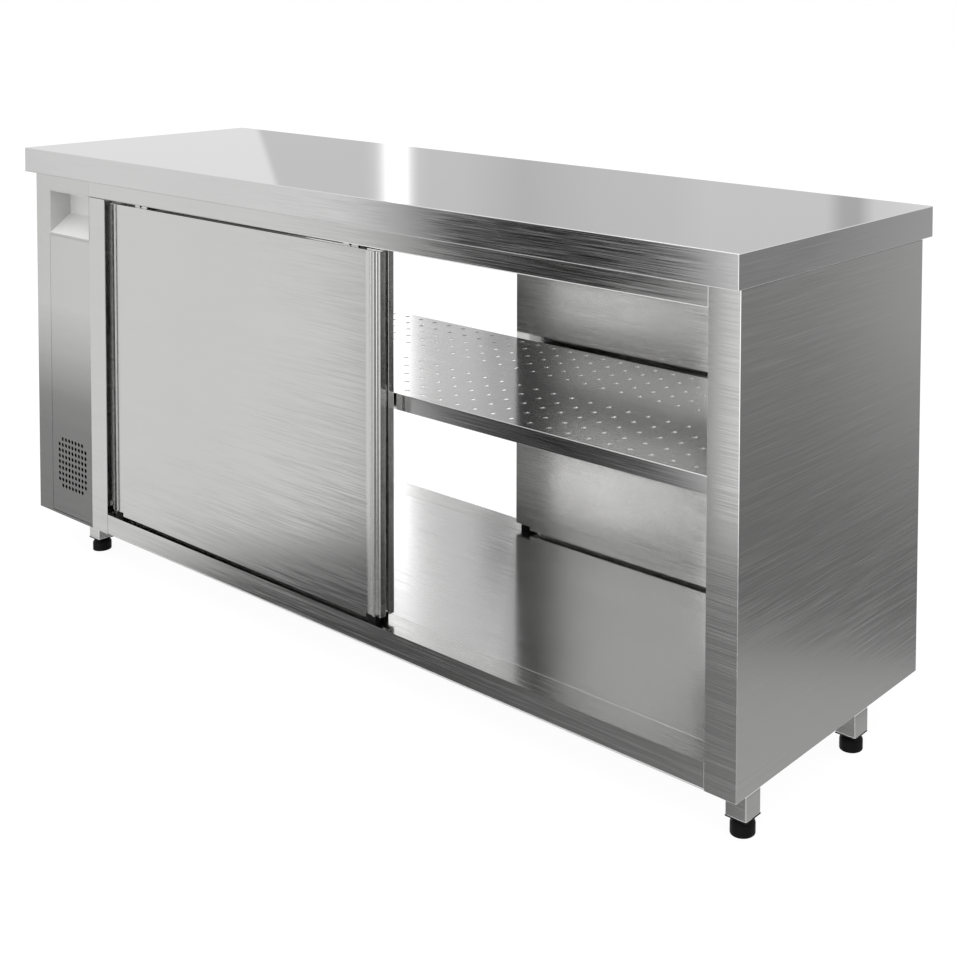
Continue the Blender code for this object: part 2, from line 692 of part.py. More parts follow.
def service_panel():
    """The vented cover of the technical bay: a shallow pan, open at the back."""
    left = BODY_LEFT + FASCIA_COLUMN
    right = PARTITION_LEFT - CLEARANCE
    rear = BODY_FRONT + PANEL_RETURN
    item = make("service_panel", nested("Y", (left, SERVICE_BOTTOM), (right, SERVICE_TOP), (
        (0, BODY_FRONT), (0, rear), (SHEET, rear), (SHEET, BODY_FRONT + SHEET))), steel)
    centre = PARTITION_LEFT - VENT_RIGHT_INSET
    half = (VENT_COUNT - 1) // 2
    cutters = []
    for column in range(-half, half + 1):
        for row in range(-half, half + 1):
            if abs(column) == half and abs(row) == half:
                continue
            cutters.append(cylinder(
                "Y", (centre + column * VENT_PITCH, VENT_HEIGHT + row * VENT_PITCH), VENT_RADIUS,
                BODY_FRONT - CUT_OVERRUN, BODY_FRONT + SHEET + CUT_OVERRUN, VENT_SIDES))
    combine(item, [merged(cutters)], "DIFFERENCE")


def control_recess():
    """The set-back control niche with its sloping floor."""
    sheet = RECESS_SHEET
    low, high = RECESS_BOTTOM, RECESS_TOP
    front, back = BODY_FRONT, RECESS_BACK
    outer = ((front, low - sheet), (back + sheet, low + RECESS_SLOPE_RISE - sheet),
             (back + sheet, high + sheet), (front, high + sheet))
    slope = RECESS_SLOPE_RISE / RECESS_DEPTH
    inner = ((front - CUT_OVERRUN, low - slope * CUT_OVERRUN), (back, low + RECESS_SLOPE_RISE),
             (back, high), (front - CUT_OVERRUN, high))
    item = make("control_recess", prism(
        "X", outer, RECESS_LEFT - sheet, RECESS_RIGHT + sheet), steel)
    combine(item, [prism("X", inner, RECESS_LEFT, RECESS_RIGHT)], "DIFFERENCE")
    near, far = back - CUT_OVERRUN, back + sheet + CUT_OVERRUN
    half_width = SWITCH_BODY_WIDTH / 2 + CLEARANCE
    half_height = SWITCH_BODY_HEIGHT / 2 + CLEARANCE
    combine(item, [merged([
        cylinder("Y", (KNOB_X, CONTROL_HEIGHT), SPINDLE_RADIUS + KNOB_GAP, near, far, 12),
        box((SWITCH_X - half_width, near, CONTROL_HEIGHT - half_height),
            (SWITCH_X + half_width, far, CONTROL_HEIGHT + half_height))])], "DIFFERENCE")


def controls():
    wall = RECESS_BACK
    behind = wall + RECESS_SHEET + CLEARANCE
    centre = (KNOB_X, CONTROL_HEIGHT)
    skirt = wall - KNOB_GAP
    face = skirt - KNOB_SKIRT
    tip = face - KNOB_GRIP_LENGTH
    knob = make("thermostat_knob", turned("Y", centre, (
        (0, tip), (KNOB_GRIP_RADIUS, tip), (KNOB_GRIP_RADIUS, face), (KNOB_RADIUS, face),
        (KNOB_RADIUS, skirt), (SPINDLE_RADIUS, skirt), (SPINDLE_RADIUS, wall + SPINDLE_DEPTH),
        (0, wall + SPINDLE_DEPTH)), KNOB_SIDES), black, (KNOB_X, skirt, CONTROL_HEIGHT), True)
    rib = box((KNOB_X - KNOB_RIB_WIDTH / 2, tip - KNOB_RIB_WIDTH / 2, CONTROL_HEIGHT),
              (KNOB_X + KNOB_RIB_WIDTH / 2, face - KNOB_SKIRT / 2, CONTROL_HEIGHT + KNOB_RADIUS
               - KNOB_RIB_WIDTH / 2))
    combine(knob, [rib], "UNION")
    half = THERMOSTAT_SIDE / 2
    body = make("thermostat_body", box(
        (KNOB_X - half, behind, CONTROL_HEIGHT - half),
        (KNOB_X + half, behind + THERMOSTAT_DEPTH, CONTROL_HEIGHT + half)), white)
    combine(body, [cylinder("Y", centre, SPINDLE_RADIUS + CLEARANCE, behind - CUT_OVERRUN,
                            wall + SPINDLE_DEPTH + CLEARANCE, 12)], "DIFFERENCE")
    power_switch()


def power_switch():
    wall = RECESS_BACK
    frame_back = wall - CLEARANCE
    frame_front = frame_back - SWITCH_FRAME_SHEET
    half_width, half_height = SWITCH_FRAME_WIDTH / 2, SWITCH_FRAME_HEIGHT / 2
    body_back = wall + SWITCH_BODY_DEPTH
    item = make("switch_body", box(
        (SWITCH_X - half_width, frame_front, CONTROL_HEIGHT - half_height),
        (SWITCH_X + half_width, frame_back, CONTROL_HEIGHT + half_height)), black)
    body = box((SWITCH_X - SWITCH_BODY_WIDTH / 2, frame_front + SWITCH_FRAME_SHEET / 2,
                CONTROL_HEIGHT - SWITCH_BODY_HEIGHT / 2),
               (SWITCH_X + SWITCH_BODY_WIDTH / 2, body_back,
                CONTROL_HEIGHT + SWITCH_BODY_HEIGHT / 2))
    combine(item, [body], "UNION")
    room = ROCKER_HALF + ROCKER_POP / 2
    side = ROCKER_WIDTH / 2 + CLEARANCE
    pivot_y = frame_front + ROCKER_DEPTH / 2
    pocket_back = pivot_y + ROCKER_DEPTH
    pocket = box((SWITCH_X - side, frame_front - CUT_OVERRUN, CONTROL_HEIGHT - room),
                 (SWITCH_X + side, pocket_back, CONTROL_HEIGHT + room))
    combine(item, [pocket], "DIFFERENCE")
    tilt = math.radians(ROCKER_ANGLE)
    rise = ROCKER_HALF * math.tan(tilt)
    base = ROCKER_DEPTH / 2
    points = ((-base - ROCKER_POP / 2 - rise, ROCKER_HALF), (-base - ROCKER_POP / 2, 0),
              (-base - ROCKER_POP / 2 - rise, -ROCKER_HALF), (base / 2, -ROCKER_HALF),
              (base, 0), (base / 2, ROCKER_HALF))
    outline = []
    for y, z in points:
        turned_y = y * math.cos(tilt) - z * math.sin(tilt)
        turned_z = y * math.sin(tilt) + z * math.cos(tilt)
        outline.append((pivot_y + turned_y, CONTROL_HEIGHT + turned_z))
    make("power_switch", prism("X", outline, SWITCH_X - ROCKER_WIDTH / 2,
                               SWITCH_X + ROCKER_WIDTH / 2), red,
         (SWITCH_X, pivot_y, CONTROL_HEIGHT))


def heater_end(side):
    """Where a tail of the heating element passes the partition, as (y, z)."""
    angle = math.radians(90 + side * HEATER_GAP_ANGLE / 2)
    return (MID_DEPTH + HEATER_RADIUS * math.cos(angle),
            FAN_HEIGHT + HEATER_RADIUS * math.sin(angle))


def heating():
    web = PARTITION_LEFT
    inside = web + SHEET
    centre = (MID_DEPTH, FAN_HEIGHT)
    motor_end = web - CLEARANCE
    motor_start = motor_end - MOTOR_LENGTH
    bore_start = motor_end - SHAFT_ENGAGE
    bore = SHAFT_RADIUS + CLEARANCE
    make("fan_motor", turned("X", centre, (
        (0, motor_start), (MOTOR_RADIUS, motor_start), (MOTOR_RADIUS, motor_end),
        (bore, motor_end), (bore, bore_start), (0, bore_start)), 24), dark, (0, 0, 0), True)
    plate = inside + IMPELLER_GAP
    far = plate + IMPELLER_WIDTH
    origin = (plate, MID_DEPTH, FAN_HEIGHT)
    fan = make("fan_impeller", turned("X", centre, (
        (0, bore_start + CLEARANCE), (SHAFT_RADIUS, bore_start + CLEARANCE),
        (SHAFT_RADIUS, plate), (IMPELLER_RADIUS, plate), (IMPELLER_RADIUS, plate + IMPELLER_PLATE),
        (IMPELLER_HUB_RADIUS, plate + IMPELLER_PLATE), (IMPELLER_HUB_RADIUS, far), (0, far)), 24),
        pale, origin, True)
    blades = []
    for i in range(IMPELLER_BLADES):
        blade = box((plate + IMPELLER_PLATE / 2, BLADE_INNER_RADIUS, -BLADE_SHEET / 2),
                    (far, IMPELLER_RADIUS - BLADE_SHEET, BLADE_SHEET / 2))
        turn = Matrix.Rotation(2 * math.pi * i / IMPELLER_BLADES, 4, "X")
        bmesh.ops.transform(blade, matrix=turn, verts=blade.verts)
        bmesh.ops.translate(blade, verts=blade.verts, vec=(0, MID_DEPTH, FAN_HEIGHT))
        blades.append(blade)
    combine(fan, [merged(blades)], "UNION")
    heating_element(inside)


def heating_element(inside):
    """A round tube element about the impeller, with two tails back through the partition."""
    x = inside + HEATER_STANDOFF
    route = []
    tail_y, tail_z = heater_end(1)
    route.append(Vector((PARTITION_LEFT - HEATER_TAIL, tail_y, tail_z)))
    first = 90 + HEATER_GAP_ANGLE / 2
    sweep = 360 - HEATER_GAP_ANGLE
    for i in range(HEATER_POINTS + 1):
        angle = math.radians(first + sweep * i / HEATER_POINTS)
        route.append(Vector((x, MID_DEPTH + HEATER_RADIUS * math.cos(angle),
                             FAN_HEIGHT + HEATER_RADIUS * math.sin(angle))))
    tail_y, tail_z = heater_end(-1)
    route.append(Vector((PARTITION_LEFT - HEATER_TAIL, tail_y, tail_z)))
    curve = bpy.data.curves.new("heating_element", "CURVE")
    curve.dimensions = "3D"
    curve.bevel_depth = HEATER_TUBE
    curve.bevel_resolution = 1
    curve.use_fill_caps = True
    spline = curve.splines.new("POLY")
    spline.points.add(len(route) - 1)
    for point, corner in zip(spline.points, route):
        point.co = (corner.x, corner.y, corner.z, 1)
    item = bpy.data.objects.new("heating_element", curve)
    bpy.context.scene.collection.objects.link(item)
    curve.materials.append(dark)


def back_panel():
    """The rear cover of the technical bay, a shallow pan, with the mains cable gland."""
    left = BODY_LEFT + SHEET + CLEARANCE
    right = PARTITION_LEFT - SHEET + CLEARANCE
    low, high = ABOVE_TRAY, BODY_TOP
    rear = BODY_BACK
    item = make("bay_back_panel", nested("Y", (left, low), (right, high), (
        (0, rear), (0, rear - PANEL_RETURN), (SHEET, rear - PANEL_RETURN),
        (SHEET, rear - SHEET))), steel)
    x = (left + right) / 2
    centre = (x, GLAND_HEIGHT)
    combine(item, [cylinder("Y", centre, GLAND_THREAD_RADIUS + CLEARANCE,
                            rear - SHEET - CUT_OVERRUN, rear + CUT_OVERRUN, 16)], "DIFFERENCE")
    gland = make("cable_gland", cylinder(
        "Y", centre, GLAND_RADIUS, rear + CLEARANCE, rear + CLEARANCE + GLAND_HEAD, GLAND_SIDES),
        black)
    combine(gland, [cylinder("Y", centre, GLAND_THREAD_RADIUS, rear - SHEET - GLAND_TAIL,
                             rear + GLAND_HEAD / 2, 16)], "UNION")
    combine(gland, [cylinder("Y", centre, GLAND_BORE_RADIUS, rear - SHEET - GLAND_TAIL
                             - CUT_OVERRUN, rear + CLEARANCE + GLAND_HEAD + CUT_OVERRUN, 12)],
            "DIFFERENCE")


def legs():
    right_x = BODY_RIGHT - LEG_RIGHT_INSET - LEG_SIDE / 2
    left_x = BODY_LEFT + LEG_LEFT_INSET + LEG_SIDE / 2
    front_y = BODY_FRONT + LEG_FRONT_INSET + LEG_SIDE / 2
    back_y = BODY_BACK - LEG_BACK_INSET - LEG_SIDE / 2
    half = LEG_SIDE / 2
    for name, x, y in (("front_left", left_x, front_y), ("front_right", right_x, front_y),
                       ("back_left", left_x, back_y), ("back_right", right_x, back_y)):
        make("leg_" + name, nested("Z", (x - half, y - half), (x + half, y + half), (
            (0, LEG_TOP), (0, LEG_BOTTOM), (LEG_WALL, LEG_BOTTOM),
            (LEG_WALL, LEG_TOP - LEG_WALL))), steel)
        lip_top = LEG_BOTTOM - CLEARANCE
        fit = LEG_WALL + CLEARANCE
        plug = make("leg_plug_" + name, nested("Z", (x - half, y - half), (x + half, y + half), (
            (0, lip_top - PLUG_LIP), (0, lip_top), (fit, lip_top),
            (fit, lip_top + PLUG_HEIGHT))), black)
        combine(plug, [cylinder("Z", (x, y), PLUG_BORE_RADIUS, lip_top - PLUG_LIP - CUT_OVERRUN,
                                lip_top + PLUG_HEIGHT + CUT_OVERRUN, 16)], "DIFFERENCE")
        profile = [(0, 0)]
        for radius, height in zip(FOOT_RADIUS_SHARES, FOOT_HEIGHT_SHARES):
            profile.append((FOOT_RADIUS * radius, FOOT_HEIGHT * height))
        profile += [(FOOT_STEM_RADIUS, FOOT_HEIGHT), (FOOT_STEM_RADIUS, FOOT_STEM_TOP),
                    (0, FOOT_STEM_TOP)]
        make("foot_" + name, turned("Z", (x, y), profile, FOOT_SIDES), black, (x, y, 0), True)


clear_scene()
steel = material("brushed_steel", STEEL, 0.32, 1.0)
pale = material("pale_steel", PALE_STEEL, 0.25, 1.0)
dark = material("dark_steel", DARK_STEEL, 0.45, 1.0)
black = material("black_plastic", BLACK, 0.5, 0.0)
white = material("white_plastic", WHITE, 0.5, 0.0)
nylon = material("roller_nylon", WHITE, 0.4, 0.0)
red = material("switch_red", RED, 0.35, 0.0)
worktop()
left_casing()
right_side_panel()
partition_frame()
partition_lining()
right_inner_wall()
top_rails()
top_tracks()
bottom_rails()
chamber_floor()
base_tray()
chamber_ceiling()
mid_shelf()
doors()
service_panel()
control_recess()
controls()
heating()
back_panel()
legs()
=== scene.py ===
"""Dresses the heated counter: brushed sheet pieces with rounded folds, perforated shelf and
vent panel, sliding doors with their grip profiles, legs, feet, controls, and a plain stage."""

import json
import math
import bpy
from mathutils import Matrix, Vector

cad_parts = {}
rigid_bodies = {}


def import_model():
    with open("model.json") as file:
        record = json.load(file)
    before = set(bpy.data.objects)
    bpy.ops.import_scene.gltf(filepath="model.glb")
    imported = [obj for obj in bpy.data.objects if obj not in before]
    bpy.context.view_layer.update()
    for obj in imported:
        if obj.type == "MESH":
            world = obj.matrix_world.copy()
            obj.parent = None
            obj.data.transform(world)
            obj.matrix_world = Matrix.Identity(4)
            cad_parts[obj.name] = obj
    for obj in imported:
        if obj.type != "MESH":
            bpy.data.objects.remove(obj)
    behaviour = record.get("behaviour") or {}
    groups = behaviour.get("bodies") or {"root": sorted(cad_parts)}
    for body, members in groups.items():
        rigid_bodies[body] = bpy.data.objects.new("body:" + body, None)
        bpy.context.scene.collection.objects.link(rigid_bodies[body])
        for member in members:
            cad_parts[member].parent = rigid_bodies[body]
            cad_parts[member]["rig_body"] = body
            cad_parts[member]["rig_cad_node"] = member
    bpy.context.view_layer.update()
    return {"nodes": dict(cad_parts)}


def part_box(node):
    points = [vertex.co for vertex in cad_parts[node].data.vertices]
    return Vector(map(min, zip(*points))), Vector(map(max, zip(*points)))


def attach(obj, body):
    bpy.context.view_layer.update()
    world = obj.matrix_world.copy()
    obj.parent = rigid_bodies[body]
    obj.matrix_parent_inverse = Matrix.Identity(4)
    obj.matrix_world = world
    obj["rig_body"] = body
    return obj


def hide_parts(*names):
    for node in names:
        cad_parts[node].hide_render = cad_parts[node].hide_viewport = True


bl_info = {
    "name": "Heated counter",
    "version": (1, 0, 0),
    "blender": (4, 5, 0),
    "location": "3D View > Sidebar > Counter",
    "description": "Dresses the heated counter and sets its stage",
    "category": "Add Mesh",
}

import bmesh
import bpy
from mathutils import Matrix, Vector

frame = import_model()
NODES = frame["nodes"]
MM = 0.001
WELD_WITHIN = 0.01 * MM
SIDES = ("left", "right")
DOORS = ("front_outer", "front_inner", "back_inner", "back_outer")


class CounterSizes(bpy.types.PropertyGroup):
    """Small sizes of the dressed pieces."""
    fold_radius: bpy.props.FloatProperty(
        name="Fold radius", description="Rounding of the main sheet folds",
        default=0.0018, min=0.0002, max=0.003, subtype="DISTANCE", unit="LENGTH")
    hole_radius: bpy.props.FloatProperty(
        name="Shelf hole radius", description="Radius of the holes in the middle shelf",
        default=0.0048, min=0.003, max=0.006, subtype="DISTANCE", unit="LENGTH")
    vent_radius: bpy.props.FloatProperty(
        name="Vent radius", description="Radius of the holes in the service panel",
        default=0.0043, min=0.003, max=0.005, subtype="DISTANCE", unit="LENGTH")
    hole_sides: bpy.props.IntProperty(
        name="Hole sides", description="Sides of each round hole", default=14, min=8, max=24)


class CounterColours(bpy.types.PropertyGroup):
    """Colours of the counter's finishes."""
    brushed: bpy.props.FloatVectorProperty(
        name="Brushed steel", description="Casing, doors, rails and stiles", size=3,
        default=(0.775, 0.775, 0.768), min=0, max=1, subtype="COLOR")
    satin: bpy.props.FloatVectorProperty(
        name="Satin steel", description="Worktop, shelf and chamber floor", size=3,
        default=(0.80, 0.80, 0.798), min=0, max=1, subtype="COLOR")
    dull: bpy.props.FloatVectorProperty(
        name="Dull steel", description="Tracks, base tray and motor", size=3,
        default=(0.36, 0.36, 0.36), min=0, max=1, subtype="COLOR")
    # painted shade: the chamber's side walls get a darker copy of the same steel as the sheets
    # beside them
    liner_painted_shade: bpy.props.FloatVectorProperty(
        name="Liner steel, painted shade", description="Side walls of the chamber", size=3,
        default=(0.42, 0.42, 0.42), min=0, max=1, subtype="COLOR")
    black: bpy.props.FloatVectorProperty(
        name="Black moulding", description="Feet, inserts, guides and knob", size=3,
        default=(0.006, 0.006, 0.006), min=0, max=1, subtype="COLOR")
    nylon: bpy.props.FloatVectorProperty(
        name="White nylon", description="Door rollers and thermostat body", size=3,
        default=(0.72, 0.72, 0.70), min=0, max=1, subtype="COLOR")
    red: bpy.props.FloatVectorProperty(
        name="Rocker red", description="Rocker of the power switch", size=3,
        default=(0.50, 0.02, 0.015), min=0, max=1, subtype="COLOR")


def sizes():
    return bpy.context.scene.counter_sizes


def colours():
    return bpy.context.scene.counter_colours


# finishes

RELIEF_DEPTH = 0.2 * MM
SIDE_FACING = 0.7
STREAK_ROUGHNESS = 0.65
STREAKS_ACROSS = 650.0
STREAKS_ALONG = 6.0
FINE_DETAIL, COARSE_DETAIL = 2.0, 3.0
COARSE_ALONG, COARSE_ACROSS, COARSE_SHARE = 0.35, 0.4, 0.15
COLOUR_SPAN = (0.44, 0.78)
WEAR_SPAN = (0.46, 0.76)
CLOUD_SCALE, CLOUD_DETAIL = 2.2, 2.0
CLOUD_WEAR = 0.015
NOISE_SPAN = (0.3, 0.7)
LEVEL_FACING = (0.6, 0.95)
RECESS_SCALE = 700.0
# painted light and painted shade of the recess: faces that look sideways darker, the others
# brighter
RECESS_PAINTED_LIGHT, RECESS_SHADE = 1.06, 0.70
RECESS_ROUGHNESS = (0.42, 0.55)
RECESS_BUMP = 0.05
RECESS_METAL = 0.35
MOULDED_DETAIL = 3.0
MOULDED_VARY = 0.15
MOULDED_WEAR = 0.06
# painted shade of the sheets round the bay, darker towards the bottom: (height in metres, share
# of the full colour)
BAY_PAINTED_SHADE = ((0.0, 0.30), (0.12, 0.32), (0.27, 0.345), (0.34, 0.41), (0.45, 0.74), (0.55, 0.96))


def start_material(name):
    """A new material with its nodes, links and shader, or the one there is and three Nones."""
    made = bpy.data.materials.get(name)
    if made:
        return made, None, None, None
    made = bpy.data.materials.new(name)
    made.use_nodes = True
    tree = made.node_tree
    return made, tree.nodes, tree.links, tree.nodes["Principled BSDF"]


def grain(nodes, links, along, across, detail):
    """Streaks that run level along every face: fine across, long along."""
    place = nodes.new("ShaderNodeTexCoord")
    facing = nodes.new("ShaderNodeNewGeometry")
    parts = nodes.new("ShaderNodeSeparateXYZ")
    links.new(facing.outputs["True Normal"], parts.inputs[0])
    side = nodes.new("ShaderNodeMath")
    side.operation = "ABSOLUTE"
    links.new(parts.outputs["X"], side.inputs[0])
    turn = nodes.new("ShaderNodeMath")
    turn.operation = "GREATER_THAN"
    turn.inputs[1].default_value = SIDE_FACING
    links.new(side.outputs[0], turn.inputs[0])
    pair = []
    for scale in ((along, across, across), (across, along, across)):
        mapping = nodes.new("ShaderNodeMapping")
        mapping.inputs["Scale"].default_value = scale
        noise = nodes.new("ShaderNodeTexNoise")
        noise.inputs["Scale"].default_value = 1.0
        noise.inputs["Detail"].default_value = detail
        noise.inputs["Roughness"].default_value = STREAK_ROUGHNESS
        links.new(place.outputs["Object"], mapping.inputs[0])
        links.new(mapping.outputs[0], noise.inputs["Vector"])
        pair.append(noise)
    mix = nodes.new("ShaderNodeMix")
    links.new(turn.outputs[0], mix.inputs["Factor"])
    links.new(pair[0].outputs["Fac"], mix.inputs["A"])
    links.new(pair[1].outputs["Fac"], mix.inputs["B"])
    return mix.outputs["Result"], place.outputs["Object"]


def ramp(nodes, links, source, low, high, first, last):
    """A straight change from first to last as the source goes from low to high."""
    made = nodes.new("ShaderNodeMapRange")
    made.inputs["From Min"].default_value = low
    made.inputs["From Max"].default_value = high
    made.inputs["To Min"].default_value = first
    made.inputs["To Max"].default_value = last
    links.new(source, made.inputs["Value"])
    return made.outputs["Result"]


def steel_look(name, colour, rough, spread, bump, vary=0.03, painted_shade_stops=None, level=None):
    """Brushed stainless sheet: level grain in colour, roughness and bump, with painted shade by
    height where stops are given.
    """
    made, nodes, links, shader = start_material(name)
    if nodes is None:
        return made
    fine, place = grain(nodes, links, STREAKS_ALONG, STREAKS_ACROSS, FINE_DETAIL)
    coarse, _ = grain(nodes, links, STREAKS_ALONG * COARSE_ALONG,
                      STREAKS_ACROSS * COARSE_ACROSS, COARSE_DETAIL)
    both = nodes.new("ShaderNodeMath")
    both.operation = "MULTIPLY_ADD"
    both.inputs[1].default_value = COARSE_SHARE
    links.new(coarse, both.inputs[0])
    links.new(fine, both.inputs[2])
    cloud = nodes.new("ShaderNodeTexNoise")
    cloud.inputs["Scale"].default_value = CLOUD_SCALE
    cloud.inputs["Detail"].default_value = CLOUD_DETAIL
    links.new(place, cloud.inputs["Vector"])
    tone = nodes.new("ShaderNodeMix")
    tone.data_type = "RGBA"
    tone.inputs["A"].default_value = (*[c * (1 - vary) for c in colour], 1)
    tone.inputs["B"].default_value = (*[min(1, c * (1 + vary)) for c in colour], 1)
    links.new(ramp(nodes, links, both.outputs[0], *COLOUR_SPAN, 0, 1), tone.inputs["Factor"])
    shown = tone.outputs["Result"]
    # painted shade: the colour darkens towards the bottom
    if painted_shade_stops:
        shown = paint_shade_by_height(nodes, links, place, shown, painted_shade_stops)
    links.new(shown, shader.inputs["Base Color"])
    wear = nodes.new("ShaderNodeMath")
    wear.operation = "ADD"
    links.new(ramp(nodes, links, both.outputs[0], *WEAR_SPAN, rough - spread, rough + spread),
              wear.inputs[0])
    links.new(ramp(nodes, links, cloud.outputs["Fac"], *NOISE_SPAN, -CLOUD_WEAR, CLOUD_WEAR),
              wear.inputs[1])
    rough_all = wear.outputs[0]
    if level is not None:
        rough_all = polished_level(nodes, links, rough_all, level)
    links.new(rough_all, shader.inputs["Roughness"])
    relief = nodes.new("ShaderNodeBump")
    relief.inputs["Strength"].default_value = bump
    relief.inputs["Distance"].default_value = RELIEF_DEPTH
    links.new(both.outputs[0], relief.inputs["Height"])
    links.new(relief.outputs[0], shader.inputs["Normal"])
    shader.inputs["Metallic"].default_value = 1.0
    return made


def polished_level(nodes, links, rough, level):
    """Level faces get a share of the roughness of upright ones."""
    facing = nodes.new("ShaderNodeNewGeometry")
    parts = nodes.new("ShaderNodeSeparateXYZ")
    links.new(facing.outputs["True Normal"], parts.inputs[0])
    up = nodes.new("ShaderNodeMath")
    up.operation = "ABSOLUTE"
    links.new(parts.outputs["Z"], up.inputs[0])
    times = nodes.new("ShaderNodeMath")
    times.operation = "MULTIPLY"
    links.new(rough, times.inputs[0])
    links.new(ramp(nodes, links, up.outputs[0], *LEVEL_FACING, 1.0, level), times.inputs[1])
    return times.outputs[0]


def paint_shade_by_height(nodes, links, place, shown, painted_shade_stops):
    """Paints shade into a finish, darker with falling height: (height, share) stops."""
    parts = nodes.new("ShaderNodeSeparateXYZ")
    links.new(place, parts.inputs[0])
    tones = nodes.new("ShaderNodeValToRGB")
    elements = tones.color_ramp.elements
    while len(elements) > 1:
        elements.remove(elements[-1])
    for i, (height, share) in enumerate(painted_shade_stops):
        element = elements[0] if i == 0 else elements.new(height)
        element.position = height
        element.color = (share, share, share, 1)
    links.new(parts.outputs["Z"], tones.inputs[0])
    times = nodes.new("ShaderNodeVectorMath")
    times.operation = "MULTIPLY"
    links.new(shown, times.inputs[0])
    links.new(tones.outputs["Color"], times.inputs[1])
    return times.outputs[0]


def recess_look():
    """Bead-blasted steel of the control recess: soft, with painted shade on its upright ends and
    painted light on its other faces.
    """
    made, nodes, links, shader = start_material("recess_sheet_painted_shade")
    if nodes is None:
        return made
    place = nodes.new("ShaderNodeTexCoord")
    noise = nodes.new("ShaderNodeTexNoise")
    noise.inputs["Scale"].default_value = RECESS_SCALE
    links.new(place.outputs["Object"], noise.inputs["Vector"])
    facing = nodes.new("ShaderNodeNewGeometry")
    parts = nodes.new("ShaderNodeSeparateXYZ")
    links.new(facing.outputs["True Normal"], parts.inputs[0])
    # painted shade and painted light: faces that look sideways are darkened, the others
    # brightened
    painted_shade_ends = nodes.new("ShaderNodeMath")
    painted_shade_ends.operation = "ABSOLUTE"
    links.new(parts.outputs["X"], painted_shade_ends.inputs[0])
    c = colours().brushed
    tone = nodes.new("ShaderNodeMix")
    tone.data_type = "RGBA"
    tone.inputs["A"].default_value = (*[min(1, v * RECESS_PAINTED_LIGHT) for v in c], 1)
    tone.inputs["B"].default_value = (*[v * RECESS_SHADE for v in c], 1)
    links.new(painted_shade_ends.outputs[0], tone.inputs["Factor"])
    links.new(tone.outputs["Result"], shader.inputs["Base Color"])
    links.new(ramp(nodes, links, noise.outputs["Fac"], *NOISE_SPAN, *RECESS_ROUGHNESS),
              shader.inputs["Roughness"])
    relief = nodes.new("ShaderNodeBump")
    relief.inputs["Strength"].default_value = RECESS_BUMP
    relief.inputs["Distance"].default_value = RELIEF_DEPTH
    links.new(noise.outputs["Fac"], relief.inputs["Height"])
    links.new(relief.outputs[0], shader.inputs["Normal"])
    shader.inputs["Metallic"].default_value = RECESS_METAL
    return made


def moulded_look(name, colour, rough, scale, bump, mirror=0.5):
    """Moulded plastic or nylon with a fine even texture."""
    made, nodes, links, shader = start_material(name)
    if nodes is None:
        return made
    place = nodes.new("ShaderNodeTexCoord")
    noise = nodes.new("ShaderNodeTexNoise")
    noise.inputs["Scale"].default_value = scale
    noise.inputs["Detail"].default_value = MOULDED_DETAIL
    links.new(place.outputs["Object"], noise.inputs["Vector"])
    tone = nodes.new("ShaderNodeMix")
    tone.data_type = "RGBA"
    tone.inputs["A"].default_value = (*[c * (1 - MOULDED_VARY) for c in colour], 1)
    tone.inputs["B"].default_value = (*[min(1, c * (1 + MOULDED_VARY)) for c in colour], 1)
    links.new(noise.outputs["Fac"], tone.inputs["Factor"])
    links.new(tone.outputs["Result"], shader.inputs["Base Color"])
    links.new(ramp(nodes, links, noise.outputs["Fac"], *NOISE_SPAN,
                   rough - MOULDED_WEAR, rough + MOULDED_WEAR),
              shader.inputs["Roughness"])
    relief = nodes.new("ShaderNodeBump")
    relief.inputs["Strength"].default_value = bump
    relief.inputs["Distance"].default_value = RELIEF_DEPTH
    links.new(noise.outputs["Fac"], relief.inputs["Height"])
    links.new(relief.outputs[0], shader.inputs["Normal"])
    shader.inputs["Specular IOR Level"].default_value = mirror
    return made


def look(kind):
    """The material of one finish."""
    c = colours()
    if kind == "brushed":
        return steel_look("brushed_sheet", c.brushed, rough=0.16, spread=0.06, bump=0.03)
    if kind == "bay":
        # the bay's sheets carry painted shade, darker towards the bottom
        return steel_look("brushed_bay_sheet_painted_shade", c.brushed, rough=0.16, spread=0.06, bump=0.03,
                          painted_shade_stops=BAY_PAINTED_SHADE)
    if kind == "worktop":
        return steel_look("worktop_satin", c.satin, rough=0.15, spread=0.07, bump=0.02, vary=0.02,
                          level=0.2)
    if kind == "satin":
        return steel_look("satin_sheet", c.satin, rough=0.14, spread=0.03, bump=0.012, vary=0.015)
    # the chamber's side walls: steel with painted shade, darker than the sheets beside them
    if kind == "liner_painted_shade":
        return steel_look("liner_sheet_painted_shade", c.liner_painted_shade, rough=0.30, spread=0.05, bump=0.02)
    if kind == "dull":
        return steel_look("dull_sheet", c.dull, rough=0.42, spread=0.08, bump=0.05)
    if kind == "recess":
        return recess_look()
    if kind == "black":
        return moulded_look("black_moulding", c.black, rough=0.5, scale=900.0, bump=0.15,
                            mirror=0.08)
    if kind == "nylon":
        return moulded_look("white_nylon", c.nylon, rough=0.38, scale=500.0, bump=0.08)
    return moulded_look("rocker_red", c.red, rough=0.22, scale=400.0, bump=0.03)


# working with pieces

FOLD_SEGMENTS = 2
FOLD_ANGLE = math.radians(28)
FLAT_WITHIN = math.radians(0.5)
TOP_WITHIN = 0.5 * MM
SMOOTH_BELOW = math.radians(32)
NORMAL_WEIGHT = 50
FACING = 0.9


def clear_selection():
    if bpy.context.object and bpy.context.object.mode != "OBJECT":
        bpy.ops.object.mode_set(mode="OBJECT")
    bpy.ops.object.select_all(action="DESELECT")


